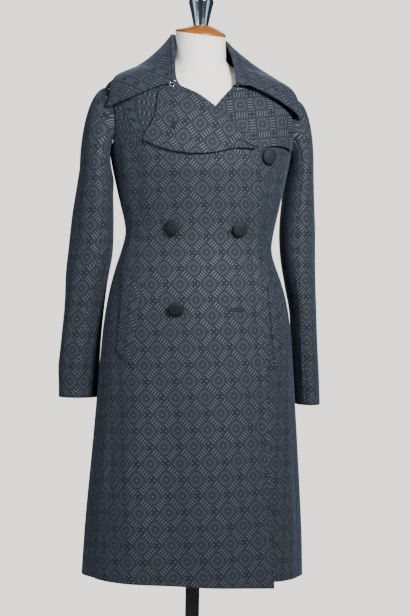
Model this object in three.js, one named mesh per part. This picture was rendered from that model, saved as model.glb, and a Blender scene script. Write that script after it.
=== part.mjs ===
// A double-breasted trench coat on a limbless dress form with a pole and a round base.
// Millimetres. +Z is up, the coat's front faces -Y and its right side is at -X.
// The origin is the middle of the base's underside, on the floor.
import * as THREE from "three";

// Driving dimensions
const CLOTH = 2; // wall of the coating
const SEAM = 0.3; // gap between two pieces that are sewn together
const LAYER = 0.9; // gap between a piece and the cloth that it lies on
const HEM_HEIGHT = 404;
const NECK_TOP = 1481; // middle of the slanting top of the form's neck
const NECK_SHIFT = -4; // the neck stands this far to the coat's right
const POLE_RADIUS = 14;
const BASE_RADIUS = 190;
const BASE_THICKNESS = 10;
const BUTTON_RADIUS = 15;
const DEGREE = Math.PI / 180;
const TINY = 1e-3; // step for slopes, and for shares that are as good as 1

const clamp = (value, low, high) => Math.min(high, Math.max(low, value));
const mix = (a, b, t) => a + (b - a) * t;
const between = (a, b, t) => a.map((value, k) => mix(value, b[k], t)); // the same for arrays
const smooth = (low, high, value) => {
  const t = clamp((value - low) / (high - low), 0, 1);
  return t * t * (3 - 2 * t);
};

// A table has named columns and rows numbered from 0. Between two rows it is read from a smooth curve.
const table = (columns, rows) => ({ columns, rows });

function readRow(source, place) {
  const last = source.rows.length - 1;
  const i = clamp(Math.floor(place), 0, last - 1);
  const t = place - i;
  const beyond = t < 0 || t > 1;
  const at = (row, column) => source.rows[clamp(row, 0, last)][column];
  const value = (column) => {
    const [p0, p1, p2, p3] = [i - 1, i, i + 1, i + 2].map((row) => at(row, column));
    if (beyond) return mix(p1, p2, t);
    const m1 = i === 0 ? p2 - p1 : (p2 - p0) / 2;
    const m2 = i + 1 === last ? p2 - p1 : (p3 - p1) / 2;
    const t2 = t * t;
    const t3 = t2 * t;
    const ease = 3 * t2 - 2 * t3;
    return (1 - ease) * p1 + (t3 - 2 * t2 + t) * m1 + ease * p2 + (t3 - t2) * m2;
  };
  return Object.fromEntries(source.columns.map((name, column) => [name, value(column)]));
}

// Where in a table a rising column reaches a value.
function placeOf(source, column, wanted) {
  let low = -1;
  let high = source.rows.length;
  for (let step = 0; step < 40; step++) {
    const middle = (low + high) / 2;
    if (readRow(source, middle)[column] < wanted) low = middle;
    else high = middle;
  }
  return (low + high) / 2;
}

// The coat's outer surface as horizontal sections, from hem to neckline.
// tilt raises the right side and lowers the left one; lean raises the back and lowers the front.
const BODY = table(
  ["height", "halfWidth", "front", "back", "tilt", "lean", "roundness"],
  [
    [HEM_HEIGHT, 222, 148, 152, 2, -7, 2.1],
    [480, 219, 146, 149, 0, -4, 2.1],
    [570, 213, 142, 145, -2, -1, 2.1],
    [660, 206, 138, 141, -3.5, 0, 2.1],
    [750, 199, 134, 138, -3, 0, 2.1],
    [830, 193, 130, 135, -3, 0, 2.15],
    [900, 187, 126, 131, -1, 0, 2.15],
    [955, 178, 121, 124, 3, 0, 2.15],
    [1000, 166, 114, 113, 8, 0, 2.15],
    [1035, 154, 108, 103, 12, 0, 2.15],
    [1065, 147, 105, 97, 14, 0, 2.15],
    [1095, 150, 106, 96, 12, 0, 2.15],
    [1130, 158, 111, 98, 8, 0, 2.2],
    [1170, 167, 118, 102, 5, 0, 2.2],
    [1210, 176, 121, 105, 4, 0, 2.2],
    [1255, 184, 119, 107, 4, 0, 2.25],
    [1298, 189, 111, 105, 4, 1, 2.25],
    [1334, 190, 99, 99, 4, 3, 2.2],
    [1358, 187, 88, 91, 4, 5, 2.1],
    [1374, 176, 79, 83, 4, 7, 2.05],
    [1388, 152, 73, 77, 3, 10, 2],
    [1401, 122, 69, 73, 2.5, 13, 2],
    [1412, 92, 65.5, 69.5, 2, 16, 2],
    [1421, 68, 62, 66, 1.5, 19, 2],
  ],
);
const NECKLINE = BODY.rows.length - 1; // the body table's last row
const heightPlace = (height) => placeOf(BODY, "height", height);

// Soft flares and hollows of the skirt. angle runs from the front's middle to the left side, in degrees, and
// depth outwards. Each fold fades in from its top height to its full height.
const FOLDS = table(
  ["angle", "spread", "depth", "top", "full"],
  [
    [-46, 15, 7, 900, 430],
    [-16, 12, -6, 860, 430],
    [6, 12, 3, 800, 430],
    [38, 14, 6, 900, 430],
    [68, 10, -4, 850, 430],
    [-72, 9, -4, 850, 430],
    [118, 14, 6, 900, 430],
    [150, 12, -6, 900, 430],
    [-124, 14, 7, 880, 430],
    [-154, 11, -5, 860, 430],
    [180, 12, 6, 900, 430],
  ],
);

function foldDepth(angle, height) {
  let sum = 0;
  for (const [centre, spread, depth, top, full] of FOLDS.rows) {
    const turn = THREE.MathUtils.euclideanModulo(angle / DEGREE - centre + 180, 360) - 180;
    sum += depth * Math.exp(-((turn / spread) ** 2)) * smooth(top, full, height);
  }
  return sum;
}

// A point on the coat's base surface: angle 0 is the front's middle and 90 degrees the left side (+X).
function bodyPoint(angle, place) {
  const row = readRow(BODY, place);
  const s = Math.sin(angle);
  const c = Math.cos(angle);
  const power = row.roundness;
  const reach = (Math.abs(s) ** power + Math.abs(c) ** power) ** (-1 / power);
  const depth = c > 0 ? row.front : row.back;
  const height = row.height - row.tilt * s - row.lean * c;
  const fold = foldDepth(angle, height);
  return new THREE.Vector3((row.halfWidth * reach + fold) * s, -(depth * reach + fold) * c, height);
}

function bodyNormal(angle, place) {
  const around = bodyPoint(angle + TINY, place).sub(bodyPoint(angle - TINY, place));
  const up = bodyPoint(angle, place + TINY).sub(bodyPoint(angle, place - TINY));
  return around.cross(up).normalize();
}

const offBody = (angle, place, out) =>
  bodyPoint(angle, place).addScaledVector(bodyNormal(angle, place), out);

// The angle and place of the point of the front that is drawn at x, z in a front view.
function onFront(x, z) {
  let angle = 0;
  let place = heightPlace(z);
  for (let round = 0; round < 14; round++) {
    const at = bodyPoint(angle, place);
    const row = readRow(BODY, place);
    place += (z - at.z) / 40;
    angle = clamp(angle + (x - at.x) / row.halfWidth, -Math.PI / 2, Math.PI / 2);
  }
  return [angle, place];
}

// The angle and place of the body's point nearest to a given one, and how far out the given one lies. Both are
// worked out from a first guess.
function toBody(point, guess) {
  let [angle, place] = guess;
  for (let round = 0; round < 10; round++) {
    const at = bodyPoint(angle, place);
    const around = bodyPoint(angle + TINY, place).sub(at).divideScalar(TINY);
    const up = at.clone().sub(bodyPoint(angle, place - TINY)).divideScalar(TINY);
    const off = point.clone().sub(at);
    const skew = around.dot(up);
    const scale = around.lengthSq() * up.lengthSq() - skew ** 2;
    const turn = (around.dot(off) * up.lengthSq() - up.dot(off) * skew) / scale;
    const climb = (up.dot(off) * around.lengthSq() - around.dot(off) * skew) / scale;
    angle += turn;
    place = clamp(place + climb, 0, NECKLINE);
  }
  const out = point.clone().sub(bodyPoint(angle, place)).dot(bodyNormal(angle, place));
  return [angle, place, out];
}

// A closed wall of cloth between two grids of points, outer[j][i] and inner[j][i]. outer faces out when i
// runs towards the coat's left and j upwards.
function wall(outer, inner) {
  const rows = outer.length;
  const columns = outer[0].length;
  const points = [...outer.flat(), ...inner.flat()];
  const back = rows * columns;
  const faces = [];
  const quad = (a, b, c, d) => faces.push(a, b, c, a, c, d);
  const index = (j, i) => j * columns + i;
  for (let j = 0; j + 1 < rows; j++) {
    for (let i = 0; i + 1 < columns; i++) {
      quad(index(j, i), index(j, i + 1), index(j + 1, i + 1), index(j + 1, i));
      quad(back + index(j, i), back + index(j + 1, i), back + index(j + 1, i + 1), back + index(j, i + 1));
    }
  }
  const edge = (a, b) => quad(a, back + a, back + b, b);
  for (let i = 0; i + 1 < columns; i++) {
    edge(index(0, i), index(0, i + 1));
    edge(index(rows - 1, i + 1), index(rows - 1, i));
  }
  for (let j = 0; j + 1 < rows; j++) {
    edge(index(j + 1, 0), index(j, 0));
    edge(index(j, columns - 1), index(j + 1, columns - 1));
  }
  return solid(points, faces);
}

function solid(points, faces) {
  const geometry = new THREE.BufferGeometry();
  const values = points.flatMap((p) => [p.x, p.y, p.z]);
  geometry.setAttribute("position", new THREE.Float32BufferAttribute(values, 3));
  geometry.setIndex(faces);
  geometry.computeVertexNormals();
  return geometry;
}

const grid = (rows, columns, point) =>
  Array.from({ length: rows + 1 }, (_, j) =>
    Array.from({ length: columns + 1 }, (_, i) => point(i / columns, j / rows)));

// A wall whose every point is given as [angle, place, out] on the coat's body.
function clothOnBody(rows, columns, spot, thickness = CLOTH) {
  const outer = grid(rows, columns, (s, t) => offBody(...spot(s, t)));
  const inner = grid(rows, columns, (s, t) => {
    const [angle, place, out] = spot(s, t);
    return offBody(angle, place, out - thickness);
  });
  return wall(outer, inner);
}

// A smooth line through points that are given as arrays of numbers, read at a share of its length.
function line(points) {
  const source = table(points[0].map((_, i) => i), points);
  return (share) => Object.values(readRow(source, share * (points.length - 1)));
}

const group = new THREE.Group();

const MATERIALS = {
  cloth: new THREE.MeshStandardMaterial({ color: 0x2b3038, roughness: 0.75, metalness: 0 }),
  button: new THREE.MeshStandardMaterial({ color: 0x24262c, roughness: 0.5, metalness: 0 }),
  metal: new THREE.MeshStandardMaterial({ color: 0xc8ccd0, roughness: 0.2, metalness: 1 }),
  canvas: new THREE.MeshStandardMaterial({ color: 0xe6e3d6, roughness: 0.85, metalness: 0 }),
  wood: new THREE.MeshStandardMaterial({ color: 0xb5702a, roughness: 0.35, metalness: 0 }),
  steel: new THREE.MeshStandardMaterial({ color: 0x1c2024, roughness: 0.4, metalness: 0.6 }),
};

function add(name, geometry, material) {
  const mesh = new THREE.Mesh(geometry, MATERIALS[material]);
  mesh.name = name;
  group.add(mesh);
}

// Armholes: a closed line on the body round each shoulder. turn is 0 under the arm, 90 degrees at its front
// edge, 180 at the shoulder point and 270 at its back edge. side is 1 on the left and -1 on the right.
const ARMHOLE = { low: 1234, high: 1361, frontSpread: 24 * DEGREE, backSpread: 30 * DEGREE };

function armhole(side, turn) {
  const spread = Math.sin(turn) > 0 ? ARMHOLE.frontSpread : ARMHOLE.backSpread;
  const height = mix(ARMHOLE.low, ARMHOLE.high, (1 - Math.cos(turn)) / 2);
  return [side * (Math.PI / 2 - spread * Math.sin(turn)), heightPlace(height)];
}

// The forward and the rear side seam, as an angle from the coat's side, by place in the body table.
const FRONT_SEAM_TURN = 48 * DEGREE; // where the forward side seam meets the armhole
const BACK_SEAM_TURN = 306 * DEGREE;
const [FRONT_SEAM_TOP] = armhole(1, FRONT_SEAM_TURN);
const [BACK_SEAM_TOP] = armhole(1, BACK_SEAM_TURN);
const FRONT_SEAM_PLACE = armhole(1, FRONT_SEAM_TURN)[1];
const BACK_SEAM_PLACE = armhole(1, BACK_SEAM_TURN)[1];
const SIDE_FRONT = { hem: 66 * DEGREE, hip: 69 * DEGREE };
const SIDE_BACK = { hem: 112 * DEGREE, hip: 111 * DEGREE };
const HIP_PLACE = heightPlace(900);

const seamAngle = (seam, top, topPlace, place) =>
  place < HIP_PLACE
    ? mix(seam.hem, seam.hip, smooth(0, HIP_PLACE, place))
    : mix(seam.hip, top, smooth(HIP_PLACE, topPlace, place));
const frontSeam = (place) => seamAngle(SIDE_FRONT, FRONT_SEAM_TOP, FRONT_SEAM_PLACE, place);
const backSeam = (place) => seamAngle(SIDE_BACK, BACK_SEAM_TOP, BACK_SEAM_PLACE, place);
const seamShare = (place) => SEAM / 2 / readRow(BODY, place).halfWidth; // half a seam's gap, as an angle
const SHOULDER_GAP = 0.003; // the same at the shoulder seam

// The fronts. Each is drawn in a front view, with x towards the coat's left: its edge from the hem up to the
// break, then the line on which the lapel folds, up to the collar.
const RIGHT_FRONT = {
  side: -1,
  edge: [[136, 396], [129, 567], [119, 758], [109, 930], [103, 1067], [99, 1150], [97, 1222]],
  roll: [[92, 1244], [50, 1286], [10, 1321], [-25, 1346], [-48, 1359], [-57, 1372]],
};
const LEFT_FRONT = {
  side: 1,
  edge: [[-136, 410], [-129, 567], [-119, 758], [-109, 930], [-103, 1067], [-99, 1150], [-98, 1210]],
  roll: [[-88, 1228], [-40, 1272], [9, 1320], [30, 1344], [43, 1358], [52, 1371]],
};

// How far the right front lies outside the body's base surface: over the left front, and over its lapel.
// It eases from none to all between two values of x or z.
const OVERLAP_OUT = CLOTH + 1.6;
const CHEST_OUT = 2 * OVERLAP_OUT + 0.4;
const LAPPED = { x: [-168, -140], chestX: [-150, -105], chestZ: [1170, 1212], shoulderZ: [1335, 1375] };

function rightFrontOut(angle, place) {
  const { x, z } = bodyPoint(angle, place);
  const lapped = smooth(...LAPPED.x, x);
  const chest = smooth(...LAPPED.chestZ, z) * smooth(...LAPPED.chestX, x);
  const shoulder = 1 - smooth(...LAPPED.shoulderZ, z);
  return mix(lapped * OVERLAP_OUT * shoulder, CHEST_OUT, chest * shoulder);
}

const LOWER_ROWS = 15; // of each panel, from the hem to where its side seam meets the armhole
const FRONT_UPPER_ROWS = 11;
const FRONT_COLUMNS = 12;
const SIDE_COLUMNS = 5;
const BACK_UPPER_ROWS = 8;
const BACK_COLUMNS = 8;
const BACK_CLIMB = 0.6; // share of the back's upper rows that end on its middle seam
const ROLL_SHARE = 0.72; // of the rows above the break, those that end on the lapel's fold

function frontSpot(front, out) {
  const edge = line(front.edge.map(([x, z]) => onFront(x, z)));
  const roll = line(front.roll.map(([x, z]) => onFront(x, z)));
  const rollEnd = roll(1);
  const neckPoint = [front.side * (Math.PI / 2 - SHOULDER_GAP), NECKLINE];
  const share = LOWER_ROWS / (LOWER_ROWS + FRONT_UPPER_ROWS);
  return (s, t) => {
    let inner;
    let outer;
    if (t <= share) {
      inner = edge(t / share);
      const place = (FRONT_SEAM_PLACE * t) / share;
      outer = [front.side * (frontSeam(place) - seamShare(place)), place];
    } else {
      const rise = (t - share) / (1 - share);
      const past = (rise - ROLL_SHARE) / (1 - ROLL_SHARE);
      inner = past < 0 ? roll(rise / ROLL_SHARE) : between(rollEnd, neckPoint, past);
      const [angle, place] = armhole(front.side, mix(FRONT_SEAM_TURN, Math.PI, rise));
      const gap = rise > 1 - TINY ? SHOULDER_GAP : 0;
      outer = [angle - front.side * gap, place];
    }
    const [angle, place] = front.side < 0 ? between(outer, inner, s) : between(inner, outer, s);
    return [angle, place, out(angle, place)];
  };
}

function fronts() {
  const rows = LOWER_ROWS + FRONT_UPPER_ROWS;
  add("front_right", clothOnBody(rows, FRONT_COLUMNS, frontSpot(RIGHT_FRONT, rightFrontOut)), "cloth");
  add("front_left", clothOnBody(rows, FRONT_COLUMNS, frontSpot(LEFT_FRONT, () => 0)), "cloth");
}

// Side panels run from the forward to the rear side seam, and end at the armhole's lower edge.
function sidePanel(side) {
  return clothOnBody(LOWER_ROWS, SIDE_COLUMNS, (s, t) => {
    const across = side < 0 ? 1 - s : s;
    const turn = mix(FRONT_SEAM_TURN, BACK_SEAM_TURN - 2 * Math.PI, across);
    const [, top] = armhole(side, turn);
    const place = top * t;
    const gap = seamShare(place);
    return [side * mix(frontSeam(place) + gap, backSeam(place) - gap, across), place, 0];
  });
}

// Half of the back: from the centre back seam to the rear side seam, the armhole and the shoulder seam.
function backPanel(side) {
  const rows = LOWER_ROWS + BACK_UPPER_ROWS;
  const share = LOWER_ROWS / rows;
  const foot = [Math.PI - seamShare(NECKLINE), BACK_SEAM_PLACE];
  const nape = [Math.PI - seamShare(NECKLINE), NECKLINE];
  const neckPoint = [Math.PI / 2 + SHOULDER_GAP, NECKLINE];
  return clothOnBody(rows, BACK_COLUMNS, (s, t) => {
    const across = side < 0 ? s : 1 - s; // 0 at the centre back
    let middle;
    let outer;
    if (t <= share) {
      const place = (BACK_SEAM_PLACE * t) / share;
      middle = [Math.PI - seamShare(place), place];
      outer = [backSeam(place) + seamShare(place), place];
    } else {
      const rise = (t - share) / (1 - share);
      const past = (rise - BACK_CLIMB) / (1 - BACK_CLIMB);
      middle = past < 0 ? between(foot, nape, rise / BACK_CLIMB) : between(nape, neckPoint, past);
      const [angle, place] = armhole(1, mix(BACK_SEAM_TURN, Math.PI, rise));
      outer = [angle + (rise > 1 - TINY ? SHOULDER_GAP : 0), place];
    }
    const [angle, place] = between(middle, outer, across);
    return [side * angle, place, 0];
  });
}

// Lapels: cloth folded back on the fronts, drawn in a front view. fold is the line from the collar to the
// break, notch the free edge from the collar to the tip, and bottom the lower edge from the tip to the break.
// corner is the share of the rows that end on the notch.
const RIGHT_LAPEL = {
  fold: [[-60, 1366], [-48, 1357], [-24, 1344], [10, 1319], [50, 1284], [88, 1246]],
  notch: [[-94, 1356], [-98, 1322], [-106, 1286], [-121, 1255]],
  bottom: [[-121, 1255], [-84, 1237], [-40, 1229], [6, 1232], [48, 1242], [84, 1243]],
  corner: 0.34,
  under: rightFrontOut,
  roll: 5,
  lift: 4,
};
const LEFT_LAPEL = {
  fold: [[55, 1367], [43, 1357], [31, 1344], [10, 1319], [-38, 1271], [-84, 1229]],
  notch: [[100, 1352], [146, 1332], [172, 1302], [168, 1249]],
  bottom: [[168, 1249], [148, 1253], [121, 1251], [90, 1238], [0, 1223], [-82, 1226]],
  corner: 0.4,
  under: () => 0,
  roll: 0,
  lift: 4,
};

const LAPEL_ROWS = 16;
const LAPEL_COLUMNS = 8;
const UNDER_LAPEL_SHOWN = [100, 130]; // x where the left lapel comes out from under the right front
const ROLL_WIDTH = 0.625; // share of the width that rolls out at the fold

function lapel(shape, side) {
  const fold = line(shape.fold.map(([x, z]) => onFront(x, z)));
  const notch = line(shape.notch.map(([x, z]) => onFront(x, z)));
  const bottom = line(shape.bottom.map(([x, z]) => onFront(x, z)));
  const free = (t) => {
    const past = (t - shape.corner) / (1 - shape.corner);
    return past < 0 ? notch(t / shape.corner) : bottom(past);
  };
  return clothOnBody(LAPEL_ROWS, LAPEL_COLUMNS, (s, t) => {
    const down = 1 - t;
    const across = side < 0 ? 1 - s : s;
    const [angle, place] = between(fold(down), free(down), across);
    const shown = side < 0 ? 1 : smooth(...UNDER_LAPEL_SHOWN, bodyPoint(angle, place).x);
    const roll = shape.roll * Math.sin(Math.PI * clamp(across / ROLL_WIDTH, 0, 1)) * mix(0.3, 1, down);
    const lift = shape.lift * across ** 2 * smooth(0, 0.3, down);
    return [angle, place, shape.under(angle, place) + OVERLAP_OUT - SEAM + (roll + lift) * shown];
  });
}

// The collar, by stations from its front end to the centre back. fold is its top line, seam the line where it
// is sewn to the neckline, and edge its free edge. clear is how far it stays off the coat, and sag lowers its
// middle. The left half stands off further by leftClear, and hangs lower by foldDrop and edgeDrop.
const COLLAR = table(
  [
    "foldX", "foldY", "foldZ", "seamX", "seamY", "seamZ", "edgeX", "edgeY", "edgeZ",
    "clear", "leftClear", "sag", "foldDrop", "edgeDrop",
  ],
  [
    [59, -87, 1372, 59, -84.5, 1368, 193, -52, 1323, 11.5, 7, 9, 0, 12],
    [59.5, -76, 1390, 62, -74, 1378, 186, -43, 1340, 10, 6, 5, 0, 9],
    [58, -53, 1423, 67, -58, 1390, 175, -27, 1363, 10, 2, 3, 2, 4],
    [56, -26, 1453, 69, -36, 1404, 163, -8, 1385, 9.5, 0, 5, 5, 0],
    [52.5, 4, 1473, 67.5, -5, 1421.8, 150, 16, 1400, 9, 0, 7, 8, -2],
    [49, 32, 1481, 63.5, 27, 1429.4, 128, 52, 1402, 8, 0, 7, 6, 0],
    [38, 55, 1484, 46, 48.5, 1436, 90, 80, 1397, 6, 0, 3, 3, 0],
    [20, 68, 1485, 24, 62, 1440, 45, 98, 1391, 6, 0, 0, 1, 0],
    [0, 71, 1485, 0, 66, 1441.4, 0, 104, 1388, 6, 0, 0, 0, 0],
  ],
);
const COLLAR_STATIONS = 13; // on each side of the centre back
const COLLAR_FOLD_RADIUS = 3.2;
const COLLAR_COLUMNS = 15;
const COLLAR_SHARES = { stand: 0.22, fold: 0.42 }; // of the columns, up to the stand's top and past the fold
const NECKLINE_TILT = { drop: 1.4, from: 40 }; // the neckline's sides are level with the coat from this x on
const LEFT_SAG = 0.6; // share of the sag on the left half
const COLLAR_BASE = 1420; // height on the coat below the fold
const EASE = 2; // how softly the collar leaves its clearance

// A point of the collar: across runs from its seam, up the stand, over the fold and down to the free edge.
function collarPoint(side, station, across) {
  const row = readRow(COLLAR, station);
  const left = side > 0 ? 1 : 0;
  const tilt = side * NECKLINE_TILT.drop * Math.min(1, row.seamX / NECKLINE_TILT.from);
  const seam = new THREE.Vector3(side * row.seamX, row.seamY, row.seamZ - tilt);
  const fold = new THREE.Vector3(side * row.foldX + NECK_SHIFT, row.foldY, row.foldZ - left * row.foldDrop);
  const edge = new THREE.Vector3(side * row.edgeX, row.edgeY, row.edgeZ - left * row.edgeDrop);
  const outward = edge.clone().sub(fold).setZ(0).normalize();
  const tall = clamp((row.foldZ - row.seamZ) / 20, 0.2, 1);
  const { stand, fold: folded } = COLLAR_SHARES;
  if (across <= stand) return seam.lerp(fold, across / stand);
  const turn = clamp((across - stand) / (folded - stand), 0, 1) * Math.PI;
  const point = fold.clone().addScaledVector(outward, COLLAR_FOLD_RADIUS * (1 - Math.cos(turn)));
  point.z += COLLAR_FOLD_RADIUS * tall * Math.sin(turn);
  const down = clamp((across - folded) / (1 - folded), 0, 1);
  point.lerp(edge, down);
  point.z -= row.sag * (left ? LEFT_SAG : 1) * Math.sin(Math.PI * down);
  const guess = [side * Math.atan2(edge.x * side, -edge.y), heightPlace(mix(COLLAR_BASE, row.edgeZ, down))];
  const [angle, place, out] = toBody(point, guess);
  const clear = row.clear + left * row.leftClear;
  const least = mix(Math.min(out, clear), clear, smooth(0, 0.15, down));
  const short = least - out;
  return point.addScaledVector(bodyNormal(angle, place), (short + Math.hypot(short, EASE)) / 2);
}

function collar() {
  const centre = COLLAR.rows.length - 1;
  return clothAlong(2 * COLLAR_STATIONS, COLLAR_COLUMNS, (s, t) => {
    const fromCentre = clamp(Math.abs(2 * t - 1), 0, 1);
    return collarPoint(t < 0.5 ? -1 : 1, centre * (1 - fromCentre), clamp(s, 0, 1));
  });
}

// A wall of even thickness about a surface. Its faces follow the surface's own normals.
function clothAlong(rows, columns, surface, thickness = CLOTH) {
  const face = (amount) =>
    grid(rows, columns, (s, t) => {
      const across = surface(s + TINY, t).sub(surface(s - TINY, t));
      const along = surface(s, t + TINY).sub(surface(s, t - TINY));
      return surface(s, t).addScaledVector(across.cross(along).normalize(), amount);
    });
  return wall(face(thickness / 2), face(-thickness / 2));
}

// Sleeves: sections up each arm. outwards is the distance from the coat's middle, across and deep are half
// sizes, and twist turns the front end outwards, in degrees.
const SLEEVES = {
  right: table(
    ["height", "outwards", "y", "across", "deep", "twist"],
    [
      [753, 231, 44, 37, 51, 24],
      [812, 231, 42, 38, 52, 21],
      [871, 228, 39, 38, 53, 17],
      [930, 223.5, 35, 38.5, 55, 11],
      [985, 220, 29, 41, 56, 5],
      [1040, 214, 22, 43, 58, 0],
      [1095, 211.5, 16, 41, 61, -2],
      [1150, 209, 10, 37, 64, -2],
      [1207, 208.5, 6, 30, 65, 0],
    ],
  ),
  left: table(
    ["height", "outwards", "y", "across", "deep", "twist"],
    [
      [744, 231, 16, 25, 56, -6],
      [809, 227, 16, 25.5, 58, -6],
      [871, 222.5, 15, 25.5, 60, -6],
      [930, 219, 15, 26, 61, -6],
      [985, 212, 14, 30, 62, -5],
      [1040, 206, 12, 34, 62, -4],
      [1095, 203.5, 10, 35, 63, -3],
      [1150, 203, 8, 31, 65, -2],
      [1207, 204, 6, 25.5, 66, 0],
    ],
  ),
};
const SLEEVE_CUT = { front: 72 * DEGREE, back: 288 * DEGREE }; // the two seams, as turns of the armhole
const SLEEVE_SEAM = 0.004; // half a seam's gap, as a turn
const UPPER_COLUMNS = 8;
const UNDER_COLUMNS = 6;
const TUBE_ROWS = 11;
const HEAD_ROWS = 7;
// The head's bend, from under the arm to the shoulder: how far it goes on up from the tube, and out from the
// armhole in a direction that climbs.
const HEAD = { up: [3, 88], out: [3, 30], climb: [-0.1, 0.15] };

function tubePoint(sections, side, turn, place) {
  const row = readRow(sections, place);
  const across = -Math.cos(turn) * row.across;
  const back = -Math.sin(turn) * row.deep;
  const twist = row.twist * DEGREE;
  const outwards = across * Math.cos(twist) - back * Math.sin(twist);
  const deep = across * Math.sin(twist) + back * Math.cos(twist);
  return new THREE.Vector3(side * (row.outwards + outwards), row.y + deep, row.height);
}

// The head is a bent surface between the armhole, which it leaves outwards, and the top of the tube.
function sleevePoint(sections, side, turn, t) {
  const share = TUBE_ROWS / (TUBE_ROWS + HEAD_ROWS);
  const last = sections.rows.length - 1;
  if (t <= share) return tubePoint(sections, side, turn, (last * clamp(t, 0, 1)) / share);
  const rise = clamp((t - share) / (1 - share), 0, 1);
  const height = (1 - Math.cos(turn)) / 2; // 0 under the arm and 1 at the shoulder
  const low = tubePoint(sections, side, turn, last);
  const [angle, place] = armhole(side, turn);
  const high = offBody(angle, place, CLOTH / 2 + SEAM);
  const outward = new THREE.Vector3(side, 0, mix(...HEAD.climb, height));
  const lowHandle = low.clone().add(new THREE.Vector3(0, 0, mix(...HEAD.up, height)));
  const highHandle = high.clone().addScaledVector(outward, mix(...HEAD.out, height));
  return new THREE.CubicBezierCurve3(low, lowHandle, highHandle, high).getPoint(rise);
}

function sleeve(side, sections, from, to, columns) {
  const first = from + SLEEVE_SEAM;
  const last = to - SLEEVE_SEAM;
  return clothAlong(TUBE_ROWS + HEAD_ROWS, columns, (s, t) => {
    const turn = side < 0 ? mix(first, last, s) : mix(last, first, s);
    return sleevePoint(sections, side, turn, t);
  });
}

function sleeves() {
  for (const [name, side] of [["right", -1], ["left", 1]]) {
    const sections = SLEEVES[name];
    const { front, back } = SLEEVE_CUT;
    const under = back - 2 * Math.PI;
    add(`sleeve_${name}_upper`, sleeve(side, sections, front, back, UPPER_COLUMNS), "cloth");
    add(`sleeve_${name}_under`, sleeve(side, sections, under, front, UNDER_COLUMNS), "cloth");
  }
}

// Shoulder straps lie along the shoulder seam, wide at the sleeve and narrower under the collar.
const STRAP = { outerPlace: 18.15, innerPlace: 21.2, outerHalf: 23, innerHalf: 17, wall: 3, lift: 3 };
const STRAP_ROWS = 8;
const STRAP_COLUMNS = 4;

function shoulderStrap(side) {
  return clothOnBody(STRAP_ROWS, STRAP_COLUMNS, (s, t) => {
    const place = mix(STRAP.outerPlace, STRAP.innerPlace, t);
    const row = readRow(BODY, place);
    const half = mix(STRAP.outerHalf, STRAP.innerHalf, t) / ((row.front + row.back) / 2);
    const angle = side * Math.PI / 2 + mix(-half, half, s);
    return [angle, place, STRAP.wall + LAYER + STRAP.lift * (1 - t) ** 2];
  }, STRAP.wall);
}

// Pocket welts: slanting bands on the hips, drawn in a front view by their two long sides, from the top down.
const WELTS = {
  right: { outerSide: [[-153, 1004], [-166, 846]], innerSide: [[-121, 981], [-141, 824]] },
  left: { innerSide: [[124, 976], [140, 818]], outerSide: [[156, 995], [166, 838]] },
};

const WELT_ROWS = 8;
const WELT_COLUMNS = 3;
const WELT_LIFT = 0.4; // beyond the usual gap

function welt(name, side) {
  const shape = WELTS[name];
  const first = side < 0 ? shape.outerSide : shape.innerSide;
  const second = side < 0 ? shape.innerSide : shape.outerSide;
  return clothOnBody(WELT_ROWS, WELT_COLUMNS, (s, t) => {
    const from = between(first[1], first[0], t);
    const to = between(second[1], second[0], t);
    const [angle, place] = onFront(...between(from, to, s));
    const under = side < 0 ? rightFrontOut(angle, place) : 0;
    return [angle, place, under + CLOTH + LAYER + WELT_LIFT];
  });
}

// Covered buttons: a low dome on a shank of thread, which starts a little above the cloth, by the lift. It
// hangs down by the droop and sideways by the turn, in degrees.
const BUTTONS = table(
  ["x", "z", "onRight", "lift", "droop", "turn", "shank"],
  [
    [119, 1231, 0, 0.1, 4, -8, 3.4],
    [-62, 1088, 1, 1.1, 4, -22, 6],
    [61, 1089, 1, 1.2, 8, 0, 4],
    [-59, 934, 1, 0.3, 32, 0, 6.5],
  ],
);
const SHANK_RADIUS = 3;
const BUTTON_SEGMENTS = 14;
const BUTTON_DOME = [
  [9, 0.2],
  [13.6, 1.2],
  [BUTTON_RADIUS, 2.8],
  [14.2, 4.6],
  [11, 6.2],
  [6, 7.2],
  [0, 7.6],
];
const [X_AXIS, Y_AXIS, Z_AXIS] = [0, 1, 2].map((k) => new THREE.Vector3().setComponent(k, 1));
const turnAbout = (axis, angle) => new THREE.Quaternion().setFromAxisAngle(axis, angle);
const turnTo = (from, to) => new THREE.Quaternion().setFromUnitVectors(from, to);
const lathed = (profile, segments) =>
  new THREE.LatheGeometry(profile.map(([r, h]) => new THREE.Vector2(r, h)), segments);

function button([x, z, onRight, lift, droop, turn, shank]) {
  const [angle, place] = onFront(x, z);
  const tilt = Math.max(Math.abs(droop), Math.abs(turn)) * DEGREE;
  const under = onRight ? rightFrontOut(angle, place) : 0;
  const foot = offBody(angle, place, under + lift + SHANK_RADIUS * Math.sin(tilt) - SEAM);
  const dome = BUTTON_DOME.map(([r, h]) => [r, h + shank]);
  const geometry = lathed([[0, 0], [SHANK_RADIUS, 0], [SHANK_RADIUS, shank], ...dome], BUTTON_SEGMENTS);
  const hang = turnAbout(Z_AXIS, turn * DEGREE).multiply(turnAbout(X_AXIS, droop * DEGREE));
  geometry.applyQuaternion(hang.multiply(turnTo(Y_AXIS, bodyNormal(angle, place))));
  return geometry.translate(foot.x, foot.y, foot.z);
}

// The metal hook at the right end of the collar is a ring, and its partner on the left a short bar. Both lie
// on the lapels just below the collar.
const WIRE_RADIUS = 1.1;
const HOOK = { x: -70, z: 1358, radius: 5, lift: 3.2 };
const BAR = { x: 64, z: 1360, length: 14, slant: 62 * DEGREE, lift: 0.1 };

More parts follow.
